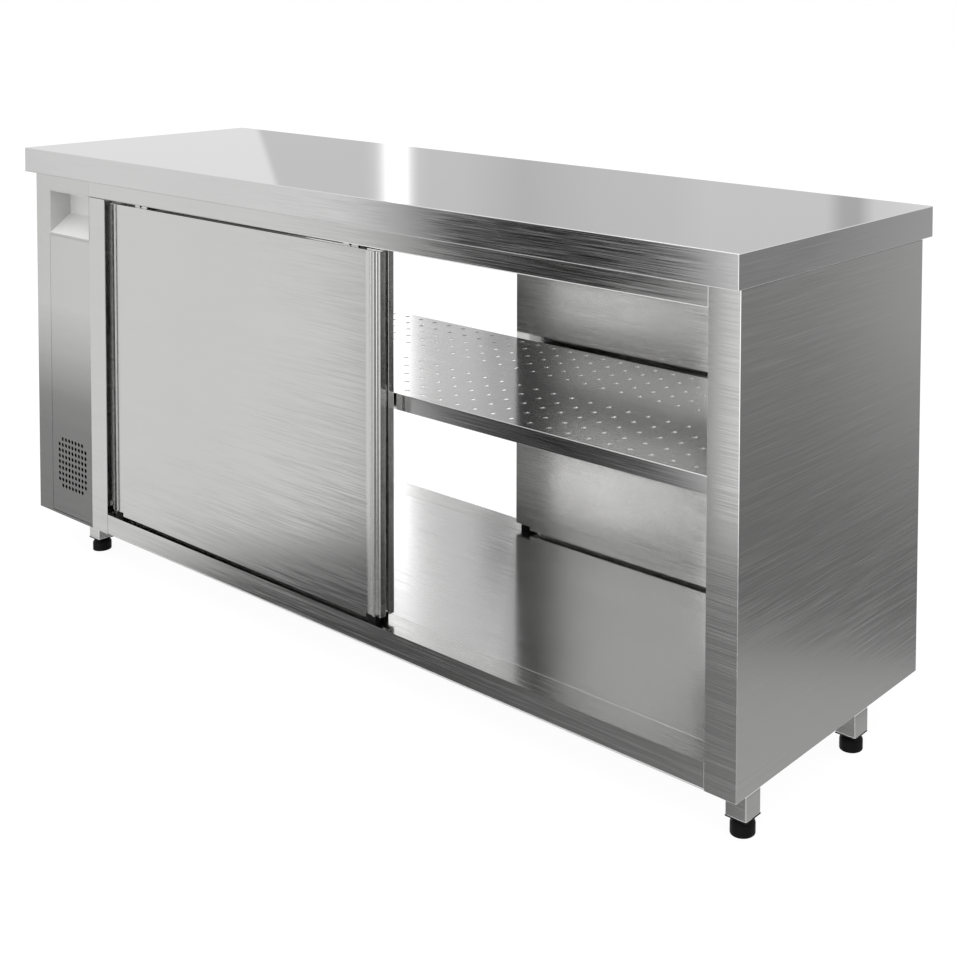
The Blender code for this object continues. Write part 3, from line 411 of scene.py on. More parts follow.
def pick(*items):
    clear_selection()
    for item in items:
        item.select_set(True)
    bpy.context.view_layer.objects.active = items[0]


def settle(item):
    """Puts the piece's place into its mesh, with the object at the origin."""
    pick(item)
    bpy.ops.object.transform_apply(location=True, rotation=True, scale=True)


def add_box(name, low, high):
    clear_selection()
    low, high = Vector(low), Vector(high)
    bpy.ops.mesh.primitive_cube_add(size=1, location=(low + high) / 2, scale=high - low)
    item = bpy.context.object
    item.name = item.data.name = name
    settle(item)
    return item


def add_rod(name, axis, centre, radius, low, high, sides):
    """A round bar along X, Y or Z, from low to high."""
    clear_selection()
    turn = {"X": (0, math.pi / 2, 0), "Y": (math.pi / 2, 0, 0), "Z": (0, 0, 0)}[axis]
    at = list(centre)
    at.insert("XYZ".index(axis), (low + high) / 2)
    bpy.ops.mesh.primitive_cylinder_add(
        vertices=sides, radius=radius, depth=high - low, location=at, rotation=turn)
    item = bpy.context.object
    item.name = item.data.name = name
    settle(item)
    return item


def choose_faces(item, test):
    """Enters edit mode with the faces selected whose middle and normal pass the test."""
    pick(item)
    bpy.ops.object.mode_set(mode="EDIT")
    bpy.ops.mesh.select_mode(type="FACE")
    bpy.ops.mesh.select_all(action="DESELECT")
    shape = bmesh.from_edit_mesh(item.data)
    count = 0
    for face in shape.faces:
        if test(face.calc_center_median(), face.normal):
            face.select_set(True)
            count += 1
    shape.select_flush_mode()
    bmesh.update_edit_mesh(item.data)
    if not count:
        raise RuntimeError("no face of " + item.name + " passed the test")


def choose_points(item, test):
    """Enters edit mode with the points selected that pass the test."""
    pick(item)
    bpy.ops.object.mode_set(mode="EDIT")
    bpy.ops.mesh.select_mode(type="VERT")
    bpy.ops.mesh.select_all(action="DESELECT")
    shape = bmesh.from_edit_mesh(item.data)
    for vert in shape.verts:
        if test(vert.co):
            vert.select_set(True)
    shape.select_flush_mode()
    bmesh.update_edit_mesh(item.data)


def edit_whole(item):
    """Enters edit mode with the whole mesh selected."""
    pick(item)
    bpy.ops.object.mode_set(mode="EDIT")
    bpy.ops.mesh.select_mode(type="VERT")
    bpy.ops.mesh.select_all(action="SELECT")


def leave_edit():
    bpy.ops.object.mode_set(mode="OBJECT")


def push(item, test, vector, inset=0.0):
    """Insets the chosen faces if asked, then extrudes them by the vector."""
    choose_faces(item, test)
    if inset:
        bpy.ops.mesh.inset(thickness=inset, use_even_offset=True, use_boundary=True)
    bpy.ops.mesh.extrude_region_move(TRANSFORM_OT_translate={"value": vector})
    leave_edit()


def apply_modifier(item, kind, **values):
    pick(item)
    modifier = item.modifiers.new(kind.lower(), kind)
    for key, value in values.items():
        setattr(modifier, key, value)
    bpy.ops.object.modifier_apply(modifier=modifier.name)


def cut_out(item, tool):
    apply_modifier(item, "BOOLEAN", operation="DIFFERENCE", solver="EXACT", object=tool)
    bpy.data.objects.remove(tool, do_unlink=True)


def recalculate(item):
    """Merges the points that coincide and turns every face outwards."""
    edit_whole(item)
    bpy.ops.mesh.remove_doubles(threshold=WELD_WITHIN)
    bpy.ops.mesh.normals_make_consistent(inside=False)
    leave_edit()


def thin_side(face):
    """The narrow width of a face."""
    longest = max(edge.calc_length() for edge in face.edges)
    return face.calc_area() / longest if longest else 0


def fold_room(edge):
    """How much flat sheet there is round an edge for its rounding."""
    beside = [thin_side(face) for face in edge.link_faces]
    beyond = [other.calc_length() for vert in edge.verts for other in vert.link_edges
              if other is not edge]
    return min(beside + beyond)


def round_folds(item, wide, share=0.3, crisp_top=False):
    """Rounds every fold by the given width, or by that share of a narrower sheet.

    With crisp_top the edges at the piece's top stay sharp.
    """
    pick(item)
    shape = bmesh.new()
    shape.from_mesh(item.data)
    weights = []
    top = max(vert.co.z for vert in shape.verts) - TOP_WITHIN
    for edge in shape.edges:
        sharp = len(edge.link_faces) == 2 and edge.calc_face_angle(0) > FOLD_ANGLE
        if crisp_top and min(vert.co.z for vert in edge.verts) > top:
            sharp = False
        weights.append(min(1.0, share * fold_room(edge) / wide) if sharp else 0.0)
    shape.free()
    layer = item.data.attributes.get("bevel_weight_edge")
    if layer is None:
        layer = item.data.attributes.new("bevel_weight_edge", "FLOAT", "EDGE")
    layer.data.foreach_set("value", weights)
    apply_modifier(item, "BEVEL", width=wide, segments=FOLD_SEGMENTS, limit_method="WEIGHT",
                   use_clamp_overlap=False, miter_outer="MITER_ARC")
    shade(item)


def shade(item, angle=SMOOTH_BELOW):
    """Smooths the rounded folds and leaves the flat faces flat."""
    pick(item)
    bpy.ops.object.shade_smooth_by_angle(angle=angle)
    apply_modifier(item, "WEIGHTED_NORMAL", keep_sharp=True, weight=NORMAL_WEIGHT)


def merged_copy(node, name):
    """A copy of a solid with its flat faces whole again."""
    item = NODES[node].copy()
    item.data = NODES[node].data.copy()
    item.name = item.data.name = name
    item.parent = None
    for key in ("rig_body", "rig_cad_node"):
        if key in item:
            del item[key]
    bpy.context.scene.collection.objects.link(item)
    edit_whole(item)
    bpy.ops.mesh.remove_doubles(threshold=WELD_WITHIN)
    bpy.ops.mesh.dissolve_limited(angle_limit=FLAT_WITHIN)
    leave_edit()
    return item


def finish_piece(item, node, body, kind):
    """Gives a piece its finish, attaches it to the body it rides on, and hides the solid it
    stands for.
    """
    item.data.materials.clear()
    item.data.materials.append(look(kind))
    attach(item, body)
    if node:
        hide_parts(node)


def dressed(node, body, kind, wide=None, share=0.3, crisp_top=False):
    """A solid's copy with rounded folds, in place of the solid."""
    item = merged_copy(node, node + "_sheet")
    round_folds(item, wide or sizes().fold_radius, share, crisp_top)
    finish_piece(item, node, body, kind)


def relook(node, kind):
    """Gives a solid that is kept as it is its finish."""
    mesh = NODES[node].data
    mesh.materials.clear()
    mesh.materials.append(look(kind))


# pieces

SHEET = 1.5 * MM
OVERRUN = 10 * MM
FINE_FOLD = 0.5 * MM
SMALL_FOLD = 0.6 * MM
MOULDED_FOLD = 0.8 * MM
PANEL_FOLD = 1.2 * MM
WORKTOP_FOLD = 1.3 * MM
DOOR_FOLD = 1.4 * MM
LEG_FOLD, LEG_SHARE = 2.8 * MM, 0.4
MOTOR_FOLD = 2.0 * MM
BLADE_FOLD = 0.4 * MM
SHELF_HOLES = 36
SHELF_PITCH = 44.2 * MM
SHELF_ROWS = 5
SHELF_ROW_PITCH = 39.6 * MM
SHELF_BANDS = 2
SHELF_BAND_PITCH = 245.5 * MM
SHELF_END = 27.4 * MM
SHELF_FRONT = 24.5 * MM
SHELF_TOOL = 6.0 * MM
VENTS = 9
VENT_PITCH = 13.35 * MM
VENT_MIDDLE_IN = 79.4 * MM
VENT_MIDDLE_UP = 192.4 * MM
VENT_TOOL = 5.0 * MM
# (distance from the door's edge, depth behind the grip's face, move inward), in mm
GRIP_SHIFTS = ((12.0, 4.5, 1.9), (22.0, 0.0, 1.54), (25.0, 0.0, 2.0), (38.0, 0.0, 4.0))
GRIP_WITHIN = 1.4 * MM
STUD_SIDES = 16
STUD_FOLD = 0.4 * MM
BOLT_RADIUS, BOLT_DROP, BOLT_SETBACK = 2.6 * MM, 3.5 * MM, 2.3 * MM
BOLT_OUT, BOLT_IN = 1.2 * MM, 0.4 * MM
RIVET_RADIUS, RIVET_IN, RIVET_UP, RIVET_OUT = 3.0 * MM, 53 * MM, 29 * MM, 0.7 * MM
FOOT_RADIUS, FOOT_RIM, FOOT_SIDES = 20 * MM, 3 * MM, 48
# (radius, rise) of each ring above the foot's rim, in mm
FOOT_RINGS = ((20.0, 13.0), (19.3, 2.2), (17.5, 2.4), (15.8, 2.2), (11.0, 2.4), (8.0, 1.0),
              (5.0, 0.0), (5.0, 20.8))
RING_WITHIN = 0.2 * MM
FOOT_FOLD, FOOT_FOLD_ANGLE, FOOT_SMOOTH = 0.7 * MM, math.radians(25), math.radians(30)


class COUNTER_OT_worktop(bpy.types.Operator):
    """Worktop with rounded folds"""
    bl_idname = "counter.worktop"
    bl_label = "Worktop"

    def execute(self, context):
        dressed("worktop", "counter", "worktop", WORKTOP_FOLD)
        return {"FINISHED"}


class COUNTER_OT_casing(bpy.types.Operator):
    """Casing, stiles, rails and sills"""
    bl_idname = "counter.casing"
    bl_label = "Casing, stiles and rails"

    def execute(self, context):
        for node in ("left_casing", "right_side_panel", "partition_frame", "top_rail_front",
                     "top_rail_back", "bottom_rail_front", "bottom_rail_back",
                     "bay_back_panel"):
            # the left casing carries painted shade, darker towards the bottom
            kind = "bay" if node == "left_casing" else "brushed"
            dressed(node, "counter", kind, crisp_top=True)
        dressed("control_recess", "counter", "recess", SMALL_FOLD)
        return {"FINISHED"}


class COUNTER_OT_chamber(bpy.types.Operator):
    """Chamber walls, floor and ceiling"""
    bl_idname = "counter.chamber"
    bl_label = "Chamber"

    def execute(self, context):
        for node in ("partition_lining", "right_inner_wall", "chamber_floor",
                     "chamber_ceiling"):
            # the lining and inner wall get the steel with painted shade
            kind = "liner_painted_shade" if node.endswith(("lining", "wall")) else "satin"
            dressed(node, "counter", kind)
        for node in ("top_track_front", "top_track_back", "base_tray"):
            dressed(node, "counter", "dull", FINE_FOLD)
        return {"FINISHED"}


def hole_tool(name, axis, centre, radius, low, high, steps):
    """One round bar repeated by steps of (count, offset) into a cutter."""
    tool = add_rod(name, axis, centre, radius, low, high, sizes().hole_sides)
    for count, offset in steps:
        apply_modifier(tool, "ARRAY", count=count, use_relative_offset=False,
                       use_constant_offset=True, constant_offset_displace=offset)
    return tool


class COUNTER_OT_shelf(bpy.types.Operator):
    """Perforated middle shelf"""
    bl_idname = "counter.shelf"
    bl_label = "Middle shelf"

    def execute(self, context):
        low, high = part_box("mid_shelf")
        item = add_box("mid_shelf_sheet", low, high)
        hollow = add_box("hollow", (low.x - OVERRUN, low.y + SHEET, low.z - OVERRUN),
                         (high.x + OVERRUN, high.y - SHEET, high.z - SHEET))
        cut_out(item, hollow)
        tool = hole_tool("holes", "Z", (high.x - SHELF_END, low.y + SHELF_FRONT),
                         sizes().hole_radius, high.z - SHELF_TOOL, high.z + SHELF_TOOL,
                         ((SHELF_HOLES, (-SHELF_PITCH, 0, 0)),
                          (SHELF_ROWS, (0, SHELF_ROW_PITCH, 0)),
                          (SHELF_BANDS, (0, SHELF_BAND_PITCH, 0))))
        cut_out(item, tool)
        round_folds(item, sizes().fold_radius)
        finish_piece(item, "mid_shelf", "counter", "satin")
        return {"FINISHED"}


class COUNTER_OT_service_panel(bpy.types.Operator):
    """Vented service panel"""
    bl_idname = "counter.service_panel"
    bl_label = "Service panel"

    def execute(self, context):
        low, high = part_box("service_panel")
        item = add_box("service_panel_sheet", low, high)
        push(item, lambda c, n: n.y > FACING, (0, -(high.y - low.y - SHEET), 0), SHEET)
        span = (VENTS - 1) * VENT_PITCH
        left = high.x - VENT_MIDDLE_IN - span / 2
        bottom = VENT_MIDDLE_UP - span / 2
        tool = hole_tool("vents", "Y", (left, bottom), sizes().vent_radius,
                         low.y - VENT_TOOL, low.y + VENT_TOOL,
                         ((VENTS, (VENT_PITCH, 0, 0)), (VENTS, (0, 0, VENT_PITCH))))

        def corner(c, n):
            beside = min(abs(c.x - left), abs(c.x - left - span))
            beyond = min(abs(c.z - bottom), abs(c.z - bottom - span))
            return max(beside, beyond) < VENT_PITCH / 2

        choose_faces(tool, corner)
        bpy.ops.mesh.delete(type="FACE")
        leave_edit()
        cut_out(item, tool)
        round_folds(item, PANEL_FOLD)
        # the service panel carries painted shade, darker towards the bottom
        finish_piece(item, "service_panel", "counter", "bay")
        return {"FINISHED"}


class COUNTER_OT_doors(bpy.types.Operator):
    """Sliding doors with grips, ears, guides and rollers"""
    bl_idname = "counter.doors"
    bl_label = "Sliding doors"

    def execute(self, context):
        for name in DOORS:
            body = "door_" + name
            item = merged_copy(body, body + "_sheet")
            self.slope_grips(item, body)
            round_folds(item, DOOR_FOLD)
            finish_piece(item, body, body, "brushed")
            for side in SIDES:
                dressed("guide_" + name + "_" + side, body, "black",
                        MOULDED_FOLD)
                roller = "roller_" + name + "_" + side
                dressed(roller, roller, "nylon", FINE_FOLD)
        return {"FINISHED"}

    def slope_grips(self, item, body):
        """Each strip falls towards its raised band, and each band falls to the panel."""
        low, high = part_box(body)
        front = body.startswith("door_front")
        face, inward = (low.y, 1) if front else (high.y, -1)
        for beside, depth, shift in GRIP_SHIFTS:

            def on_corner(place):
                edge = min(place.x - low.x, high.x - place.x)
                deep = (place.y - face) * inward
                return (abs(edge - beside * MM) < GRIP_WITHIN
                        and abs(deep - depth * MM) < GRIP_WITHIN)

            choose_points(item, on_corner)
            bpy.ops.transform.translate(value=(0, inward * shift * MM, 0))
            leave_edit()
        recalculate(item)


def studs(name, places, radius, low, high):
    """Small round heads on one upright face, joined into one piece."""
    heads = []
    for x, z in places:
        head = add_rod(name, "Y", (x, z), radius, low, high, STUD_SIDES)
        apply_modifier(head, "BEVEL", width=STUD_FOLD, segments=FOLD_SEGMENTS,
                       limit_method="ANGLE")
        heads.append(head)
    pick(*heads)
    bpy.ops.object.join()
    shade(heads[0])
    return heads[0]


class COUNTER_OT_fasteners(bpy.types.Operator):
    """Hanger bolts in the head gap and rivets that hold the door guides"""
    bl_idname = "counter.fasteners"
    bl_label = "Fasteners"

    def execute(self, context):
        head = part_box("top_rail_front")[0].z - BOLT_DROP
        for name in DOORS:
            body = "door_" + name
            low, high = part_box(body)
            rollers = [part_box("roller_" + name + "_" + side) for side in SIDES]
            ear = rollers[0][0].y - BOLT_SETBACK
            spots = [((a.x + b.x) / 2, head) for a, b in rollers]
            bolts = studs("bolts_" + name, spots, BOLT_RADIUS, ear - BOLT_OUT, ear + BOLT_IN)
            finish_piece(bolts, None, body, "black")
            rear = high.y if name.startswith("front") else low.y
            rise = low.z + RIVET_UP
            spots = [(low.x + RIVET_IN, rise), (high.x - RIVET_IN, rise)]
            rivets = studs("rivets_" + name, spots, RIVET_RADIUS, rear - RIVET_OUT,
                           rear + RIVET_OUT)
            finish_piece(rivets, None, body, "satin")
        return {"FINISHED"}


class COUNTER_OT_legs(bpy.types.Operator):
    """Square legs, inserts and levelling feet"""
    bl_idname = "counter.legs"
    bl_label = "Legs and feet"

    def execute(self, context):
        for place in ("front_left", "front_right", "back_left", "back_right"):
            dressed("leg_" + place, "counter", "brushed", LEG_FOLD, LEG_SHARE)
            dressed("leg_plug_" + place, "counter", "black", SMALL_FOLD)
            self.foot(place)
        return {"FINISHED"}

    def foot(self, place):
        """A round cup raised ring by ring into its threaded stem."""
        node = "foot_" + place
        low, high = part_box(node)
        x, y = (low.x + high.x) / 2, (low.y + high.y) / 2
        item = add_rod(node + "_cup", "Z", (x, y), FOOT_RADIUS, 0, FOOT_RIM, FOOT_SIDES)
        at = Vector((x, y, 0))
        current, level = FOOT_RADIUS, FOOT_RIM
        for new, rise in FOOT_RINGS:
            new, rise = new * MM, rise * MM
            choose_faces(item, lambda c, n: n.z > FACING and abs(c.z - level) < RING_WITHIN)
            bpy.ops.mesh.extrude_region_move(TRANSFORM_OT_translate={"value": (0, 0, rise)})
            bpy.ops.transform.resize(value=(new / current, new / current, 1),
                                     center_override=at + Vector((0, 0, level + rise)))
            leave_edit()
            current, level = new, level + rise
        recalculate(item)
        apply_modifier(item, "BEVEL", width=FOOT_FOLD, segments=FOLD_SEGMENTS,
                       limit_method="ANGLE", angle_limit=FOOT_FOLD_ANGLE)
        shade(item, FOOT_SMOOTH)
        finish_piece(item, node, node, "black")


class COUNTER_OT_controls(bpy.types.Operator):
    """Thermostat, rocker switch, fan, heating element and cable gland"""
    bl_idname = "counter.controls"
    bl_label = "Controls and electrics"

    def execute(self, context):
        dressed("thermostat_knob", "thermostat_knob", "black", MOULDED_FOLD)
        dressed("power_switch", "power_switch", "red", SMALL_FOLD)
        dressed("switch_body", "counter", "black", FINE_FOLD)
        dressed("thermostat_body", "counter", "nylon", PANEL_FOLD)
        dressed("cable_gland", "counter", "black", MOULDED_FOLD)
        dressed("fan_motor", "counter", "dull", MOTOR_FOLD)
        dressed("fan_impeller", "fan_impeller", "satin", BLADE_FOLD)
        relook("heating_element", "dull")
        bpy.context.view_layer.update()
        return {"FINISHED"}


# stage

# The metal mirrors a studio whose brightness is set by compass direction, in degrees from
# the right-hand end towards the back, and by the height of the ray, from -1 to 1.
# Below the horizon, as (direction, brightness):
LEVEL_TONES = (
    (-170, 1.9), (-163, 0.40), (-157, 0.40), (-151, 0.76), (-144, 0.75),
    (-139.9, 0.80), (-138.6, 0.72), (-137.6, 0.40), (-136.4, 0.05), (-132, 0.02),
    (-130, 0.005), (-128.4, 0.01), (-126.8, 0.07), (-125.6, 0.56), (-124.6, 1.0),
    (-123, 0.85), (-112, 0.75), (-98, 1.9), (-64, 1.9), (-52, 0.40), (25, 0.36),
    (45, 0.235), (57.5, 0.225), (60, 0.31), (62, 0.375), (75, 0.6), (150, 1.0), (168, 1.9))
# on the floor:
FLOOR_TONES = (
    (-180, 0.5), (-150, 0.24), (-148.5, 0.24), (-147.3, 0.36), (-145.6, 0.06), (-143, 0.04),
    (-140, 0.05), (-133, 0.12), (-130.5, 0.14), (-126.5, 0.19), (-110, 0.25), (-60, 0.6),
    (20, 0.45), (45, 0.39), (65, 0.39), (85, 0.9), (150, 0.95), (170, 0.9))
# above the horizon, behind the counter:
UPPER_TONES = (
    (111, 0.80), (117, 0.78), (119.7, 0.66), (120.3, 0.44), (120.9, 0.44), (121.5, 0.62),
    (126.0, 0.62), (127.5, 0.58), (130.3, 0.56), (133.2, 0.50), (135.5, 0.58),
    (136.8, 0.588), (137.23, 0.627), (137.45, 0.777), (137.68, 1.2), (137.85, 2.6),
    (138.2, 2.6), (138.35, 1.3), (138.58, 0.955), (138.80, 0.69), (139.02, 0.62),
    (139.3, 0.588), (149, 0.588))
# strength of the dark strip behind the right-hand doors, as (height, share):
STRIP_TONES = ((0.20, 0.0), (0.222, 0.5), (0.247, 0.42), (0.272, 0.18), (0.29, 0.10),
               (0.32, 0.10), (0.335, 0.85), (0.352, 0.85), (0.375, 0.52), (0.392, 0.26),
               (0.405, 0.12), (0.42, 0.0))
TONE_SCALE = 3.0
ALL_ROUND = (-180.0, 180.0)
BEHIND = (110.0, 150.0)
HORIZON = (-0.02, 0.02)
RIGHT_SIDE = (0.2, 0.4)
FLOOR_EDGE, FLOOR_RIGHT_DROP = (-0.349, -0.368), 0.06
DIM_EDGE, DIM_TONE = (-0.22, -0.37), 0.16
UNDER_EDGE, UNDER_TONE = (-0.55, -0.70), 1.6
CEILING_EDGE, CEILING_TONE = (0.55, 0.75), 1.4
PANEL_EDGE, PANEL_LEAN, PANEL_TONE = (144.75, 144.98), 16.9, 0.81
STRIP_LEFT, STRIP_RIGHT, STRIP_TONE = (133.2, 133.4), (134.5, 134.9), 0.0
GLOW_MIDDLE, GLOW_REACH, GLOW_EDGE, GLOW_TONE = 130.1, 1.5, (0.205, 0.22), 4.5
FLOOR_SIZE, FLOOR_DROP = 24, 0.5 * MM
FLOOR_COLOUR = (0.9, 0.9, 0.9, 1)
FLOOR_GLOW, FLOOR_GLOW_SHARE = 1.06, 0.88
WHITE = (1, 1, 1, 1)
LAMP_PLACE, LAMP_AIM, LAMP_SIZE, LAMP_POWER = (0.6, -0.8, 3.4), (0.2, 0.1, 0.4), 3.0, 28
CAMERA_PLACE = (2.2362, -2.0749, 1.3083)
CAMERA_YAW, CAMERA_PITCH, CAMERA_ROLL = -0.6741, -0.0491, 0.0068
CAMERA_FILM = 36
CAMERA_LENS, CAMERA_SHIFT = 56.074, (-0.1730, -0.4509)
CAMERA_RANGE = (0.05, 60)


def grey(value):
    """A grey on the tone scale, because a colour ramp holds no more than 1."""
    return (value / TONE_SCALE, value / TONE_SCALE, value / TONE_SCALE, 1)


def radians(pair):
    return [math.radians(angle) for angle in pair]


def tone_ramp(nodes, links, source, tones, span):
    """A colour ramp of (place, brightness) pairs over a source that covers the span."""
    made = nodes.new("ShaderNodeValToRGB")
    elements = made.color_ramp.elements
    while len(elements) > 1:
        elements.remove(elements[-1])
    for i, (angle, value) in enumerate(tones):
        spot = (angle - span[0]) / (span[1] - span[0])
        element = elements[0] if i == 0 else elements.new(spot)
        element.position = spot
        element.color = grey(value)
    links.new(source, made.inputs[0])
    return made.outputs["Color"]


def blended(nodes, links, factor, first, second):
    """Goes from the first tone to the second, which may be a plain brightness."""
    made = nodes.new("ShaderNodeMix")
    made.data_type = "RGBA"
    links.new(factor, made.inputs["Factor"])
    links.new(first, made.inputs["A"])
    if isinstance(second, float):
        made.inputs["B"].default_value = grey(second)
    else:
        links.new(second, made.inputs["B"])
    return made.outputs["Result"]


def product(nodes, links, first, second):
    made = nodes.new("ShaderNodeMath")
    made.operation = "MULTIPLY"
    links.new(first, made.inputs[0])
    links.new(second, made.inputs[1])
    return made.outputs[0]


def lower_half(nodes, links, round_to, aside, rise):
    """The studio's walls and floor, seen in faces that look ahead or down."""
    spot = ramp(nodes, links, round_to, *radians(ALL_ROUND), 0, 1)
    # on the right the floor starts further down, and the wall dims towards it
    tilt = nodes.new("ShaderNodeMath")
    links.new(rise, tilt.inputs[0])
    links.new(ramp(nodes, links, aside, *RIGHT_SIDE, 0.0, FLOOR_RIGHT_DROP), tilt.inputs[1])
    floor = ramp(nodes, links, tilt.outputs[0], *FLOOR_EDGE, 0, 1)
    dim = product(nodes, links, ramp(nodes, links, aside, *RIGHT_SIDE, 0, 1),
                  ramp(nodes, links, rise, *DIM_EDGE, 0, 1))
    level = blended(nodes, links, dim,
                    tone_ramp(nodes, links, spot, LEVEL_TONES, ALL_ROUND), DIM_TONE)
    low = blended(nodes, links, floor, level,
                  tone_ramp(nodes, links, spot, FLOOR_TONES, ALL_ROUND))
    return blended(nodes, links, ramp(nodes, links, rise, *UNDER_EDGE, 0, 1), low, UNDER_TONE)


def upper_half(nodes, links, round_to, rise):
    """The studio above the horizon, seen in the worktop, shelf and chamber floor."""
    behind = ramp(nodes, links, round_to, *radians(BEHIND), 0, 1)
    upper = tone_ramp(nodes, links, behind, UPPER_TONES, BEHIND)
    # a pale panel on the left, whose edge leans
    lean = nodes.new("ShaderNodeMath")
    lean.operation = "MULTIPLY_ADD"
    lean.inputs[1].default_value = math.radians(PANEL_LEAN)
    links.new(rise, lean.inputs[0])
    links.new(round_to, lean.inputs[2])
    panel = ramp(nodes, links, lean.outputs[0], *radians(PANEL_EDGE), 0, 1)
    upper = blended(nodes, links, panel, upper, PANEL_TONE)
    # the dark strip
    beside = product(nodes, links,
                     ramp(nodes, links, round_to, *radians(STRIP_LEFT), 0, 1),
                     ramp(nodes, links, round_to, *radians(STRIP_RIGHT), 1, 0))
    shares = [(height, TONE_SCALE * share) for height, share in STRIP_TONES]
    strip = product(nodes, links, beside, tone_ramp(nodes, links, rise, shares, (0.0, 1.0)))
    upper = blended(nodes, links, strip, upper, STRIP_TONE)
    # a lamp that reaches the inside of the back doors by way of the shelf and floor
    apart = nodes.new("ShaderNodeMath")
    apart.operation = "SUBTRACT"
    apart.inputs[1].default_value = math.radians(GLOW_MIDDLE)
    links.new(round_to, apart.inputs[0])
    width = nodes.new("ShaderNodeMath")
    width.operation = "ABSOLUTE"
    links.new(apart.outputs[0], width.inputs[0])
    glow = product(nodes, links,
                   ramp(nodes, links, width.outputs[0], 0, math.radians(GLOW_REACH), 1, 0),
                   ramp(nodes, links, rise, *GLOW_EDGE, 0, 1))
    upper = blended(nodes, links, glow, upper, GLOW_TONE)
    return blended(nodes, links, ramp(nodes, links, rise, *CEILING_EDGE, 0, 1), upper,
                   CEILING_TONE)


def studio_world():
    """White behind the counter, and a soft studio round it for the metal to mirror."""
    world = bpy.data.worlds.new("studio")
    bpy.context.scene.world = world
    world.use_nodes = True
    nodes, links = world.node_tree.nodes, world.node_tree.links
    nodes.clear()
    place = nodes.new("ShaderNodeTexCoord")
    parts = nodes.new("ShaderNodeSeparateXYZ")
    links.new(place.outputs["Generated"], parts.inputs[0])
    angle = nodes.new("ShaderNodeMath")
    angle.operation = "ARCTAN2"
    links.new(parts.outputs["Y"], angle.inputs[0])
    links.new(parts.outputs["X"], angle.inputs[1])
    round_to, rise = angle.outputs[0], parts.outputs["Z"]
    low = lower_half(nodes, links, round_to, parts.outputs["X"], rise)
    high = upper_half(nodes, links, round_to, rise)
    room = blended(nodes, links, ramp(nodes, links, rise, *HORIZON, 0, 1), low, high)
    mirrored = nodes.new("ShaderNodeBackground")
    mirrored.inputs["Strength"].default_value = TONE_SCALE
    links.new(room, mirrored.inputs["Color"])
    plain = nodes.new("ShaderNodeBackground")
    plain.inputs["Color"].default_value = WHITE
    plain.inputs["Strength"].default_value = 1.0
    rays = nodes.new("ShaderNodeLightPath")
    blend = nodes.new("ShaderNodeMixShader")
    links.new(rays.outputs["Is Glossy Ray"], blend.inputs[0])
    links.new(plain.outputs[0], blend.inputs[1])
    links.new(mirrored.outputs[0], blend.inputs[2])
    out = nodes.new("ShaderNodeOutputWorld")
    links.new(blend.outputs[0], out.inputs[0])


def floor_look():
    """A pale floor that is nearly white to the camera and plainly lit to all else."""
    made, nodes, links, shader = start_material("pale_floor")
    nodes.remove(shader)
    plain = nodes.new("ShaderNodeEmission")
    plain.inputs["Color"].default_value = WHITE
    plain.inputs["Strength"].default_value = FLOOR_GLOW
    lit = nodes.new("ShaderNodeBsdfDiffuse")
    lit.inputs["Color"].default_value = FLOOR_COLOUR
    seen = nodes.new("ShaderNodeMixShader")
    seen.inputs[0].default_value = FLOOR_GLOW_SHARE
    links.new(lit.outputs[0], seen.inputs[1])
    links.new(plain.outputs[0], seen.inputs[2])
    rays = nodes.new("ShaderNodeLightPath")
    blend = nodes.new("ShaderNodeMixShader")
    links.new(rays.outputs["Is Camera Ray"], blend.inputs[0])
    links.new(lit.outputs[0], blend.inputs[1])
    links.new(seen.outputs[0], blend.inputs[2])
    links.new(blend.outputs[0], nodes["Material Output"].inputs[0])
    return made


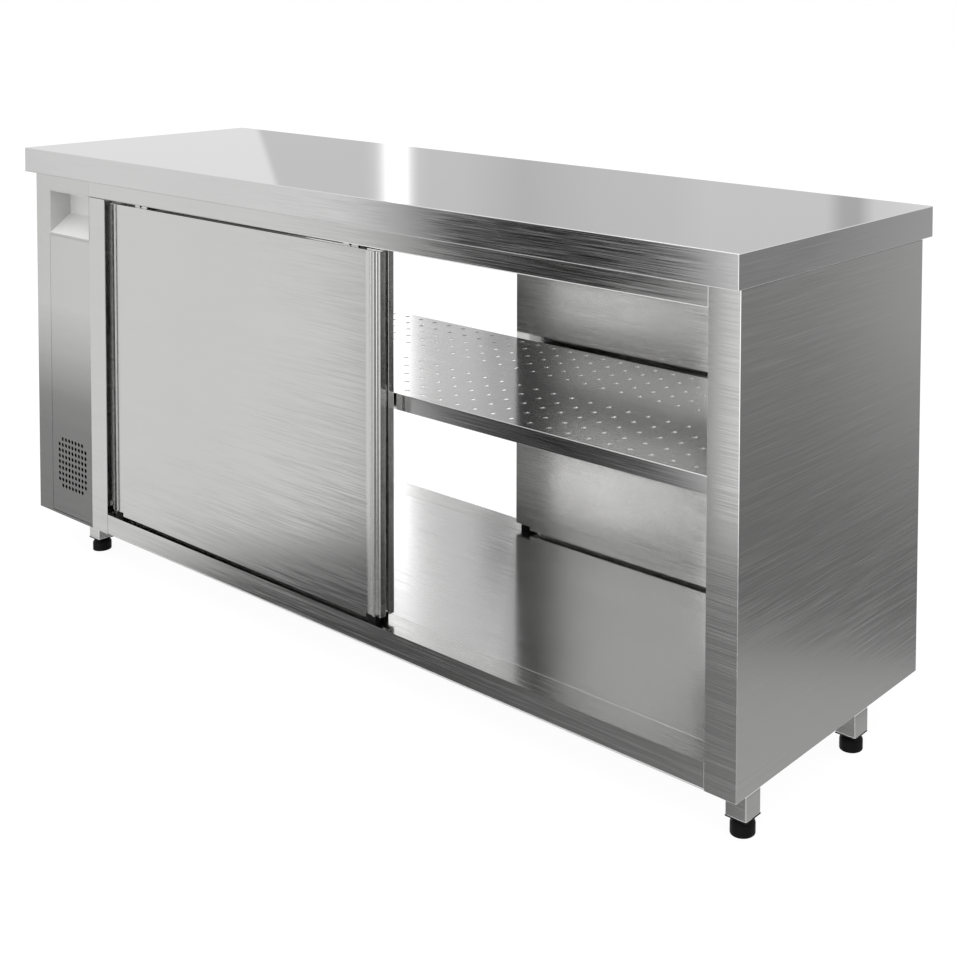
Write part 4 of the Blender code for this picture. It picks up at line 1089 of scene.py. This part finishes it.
class COUNTER_OT_stage(bpy.types.Operator):
    """Pale floor, soft light and the camera"""
    bl_idname = "counter.stage"
    bl_label = "Stage"

    def execute(self, context):
        scene = context.scene
        scene.view_settings.view_transform = "Standard"
        studio_world()
        clear_selection()
        bpy.ops.mesh.primitive_plane_add(size=FLOOR_SIZE, location=(0, 0, -FLOOR_DROP))
        floor = bpy.context.object
        floor.name = "floor"
        settle(floor)
        floor.data.materials.append(floor_look())
        floor.visible_glossy = False
        self.lamp()
        self.camera(scene)
        return {"FINISHED"}

    def lamp(self):
        """A soft round lamp above."""
        data = bpy.data.lights.new("soft_top", "AREA")
        data.shape = "DISK"
        data.size = LAMP_SIZE
        data.energy = LAMP_POWER
        item = bpy.data.objects.new("soft_top", data)
        item.location = LAMP_PLACE
        ray = Vector(LAMP_AIM) - Vector(LAMP_PLACE)
        item.rotation_euler = ray.to_track_quat("-Z", "Y").to_euler()
        bpy.context.scene.collection.objects.link(item)

    def camera(self, scene):
        """The photograph's camera, solved from its straight edges."""
        yaw, pitch, roll = CAMERA_YAW, CAMERA_PITCH, CAMERA_ROLL
        ahead = Vector((math.sin(yaw) * math.cos(pitch), math.cos(yaw) * math.cos(pitch),
                        math.sin(pitch)))
        right = Vector((math.cos(yaw), -math.sin(yaw), 0))
        up = right.cross(ahead)
        across = math.cos(roll) * right + math.sin(roll) * up
        rise = -math.sin(roll) * right + math.cos(roll) * up
        data = bpy.data.cameras.new("camera")
        data.sensor_fit = "HORIZONTAL"
        data.sensor_width = CAMERA_FILM
        data.lens = CAMERA_LENS
        data.shift_x, data.shift_y = CAMERA_SHIFT
        data.clip_start, data.clip_end = CAMERA_RANGE
        item = bpy.data.objects.new("camera", data)
        turn = Matrix((across, rise, -ahead)).transposed().to_4x4()
        item.matrix_world = Matrix.Translation(CAMERA_PLACE) @ turn
        scene.collection.objects.link(item)
        scene.camera = item


class COUNTER_PT_panel(bpy.types.Panel):
    """Lists the counter's pieces and its sizes and colours"""
    bl_idname = "COUNTER_PT_panel"
    bl_label = "Heated counter"
    bl_space_type = "VIEW_3D"
    bl_region_type = "UI"
    bl_category = "Counter"

    def draw(self, context):
        column = self.layout.column()
        for operator in OPERATORS:
            column.operator(operator.bl_idname)
        for group, kind in ((sizes(), CounterSizes), (colours(), CounterColours)):
            for key in kind.__annotations__:
                column.prop(group, key)


OPERATORS = (
    COUNTER_OT_worktop, COUNTER_OT_casing, COUNTER_OT_chamber, COUNTER_OT_shelf,
    COUNTER_OT_service_panel, COUNTER_OT_doors, COUNTER_OT_fasteners, COUNTER_OT_legs,
    COUNTER_OT_controls, COUNTER_OT_stage)
CLASSES = (CounterSizes, CounterColours) + OPERATORS + (COUNTER_PT_panel,)


def register():
    for kind in CLASSES:
        bpy.utils.register_class(kind)
    bpy.types.Scene.counter_sizes = bpy.props.PointerProperty(type=CounterSizes)
    bpy.types.Scene.counter_colours = bpy.props.PointerProperty(type=CounterColours)


def unregister():
    del bpy.types.Scene.counter_colours
    del bpy.types.Scene.counter_sizes
    for kind in reversed(CLASSES):
        bpy.utils.unregister_class(kind)


def main():
    register()
    for operator in OPERATORS:
        name = operator.bl_idname.split(".")[1]
        getattr(bpy.ops.counter, name)()


if __name__ == "__main__":
    main()
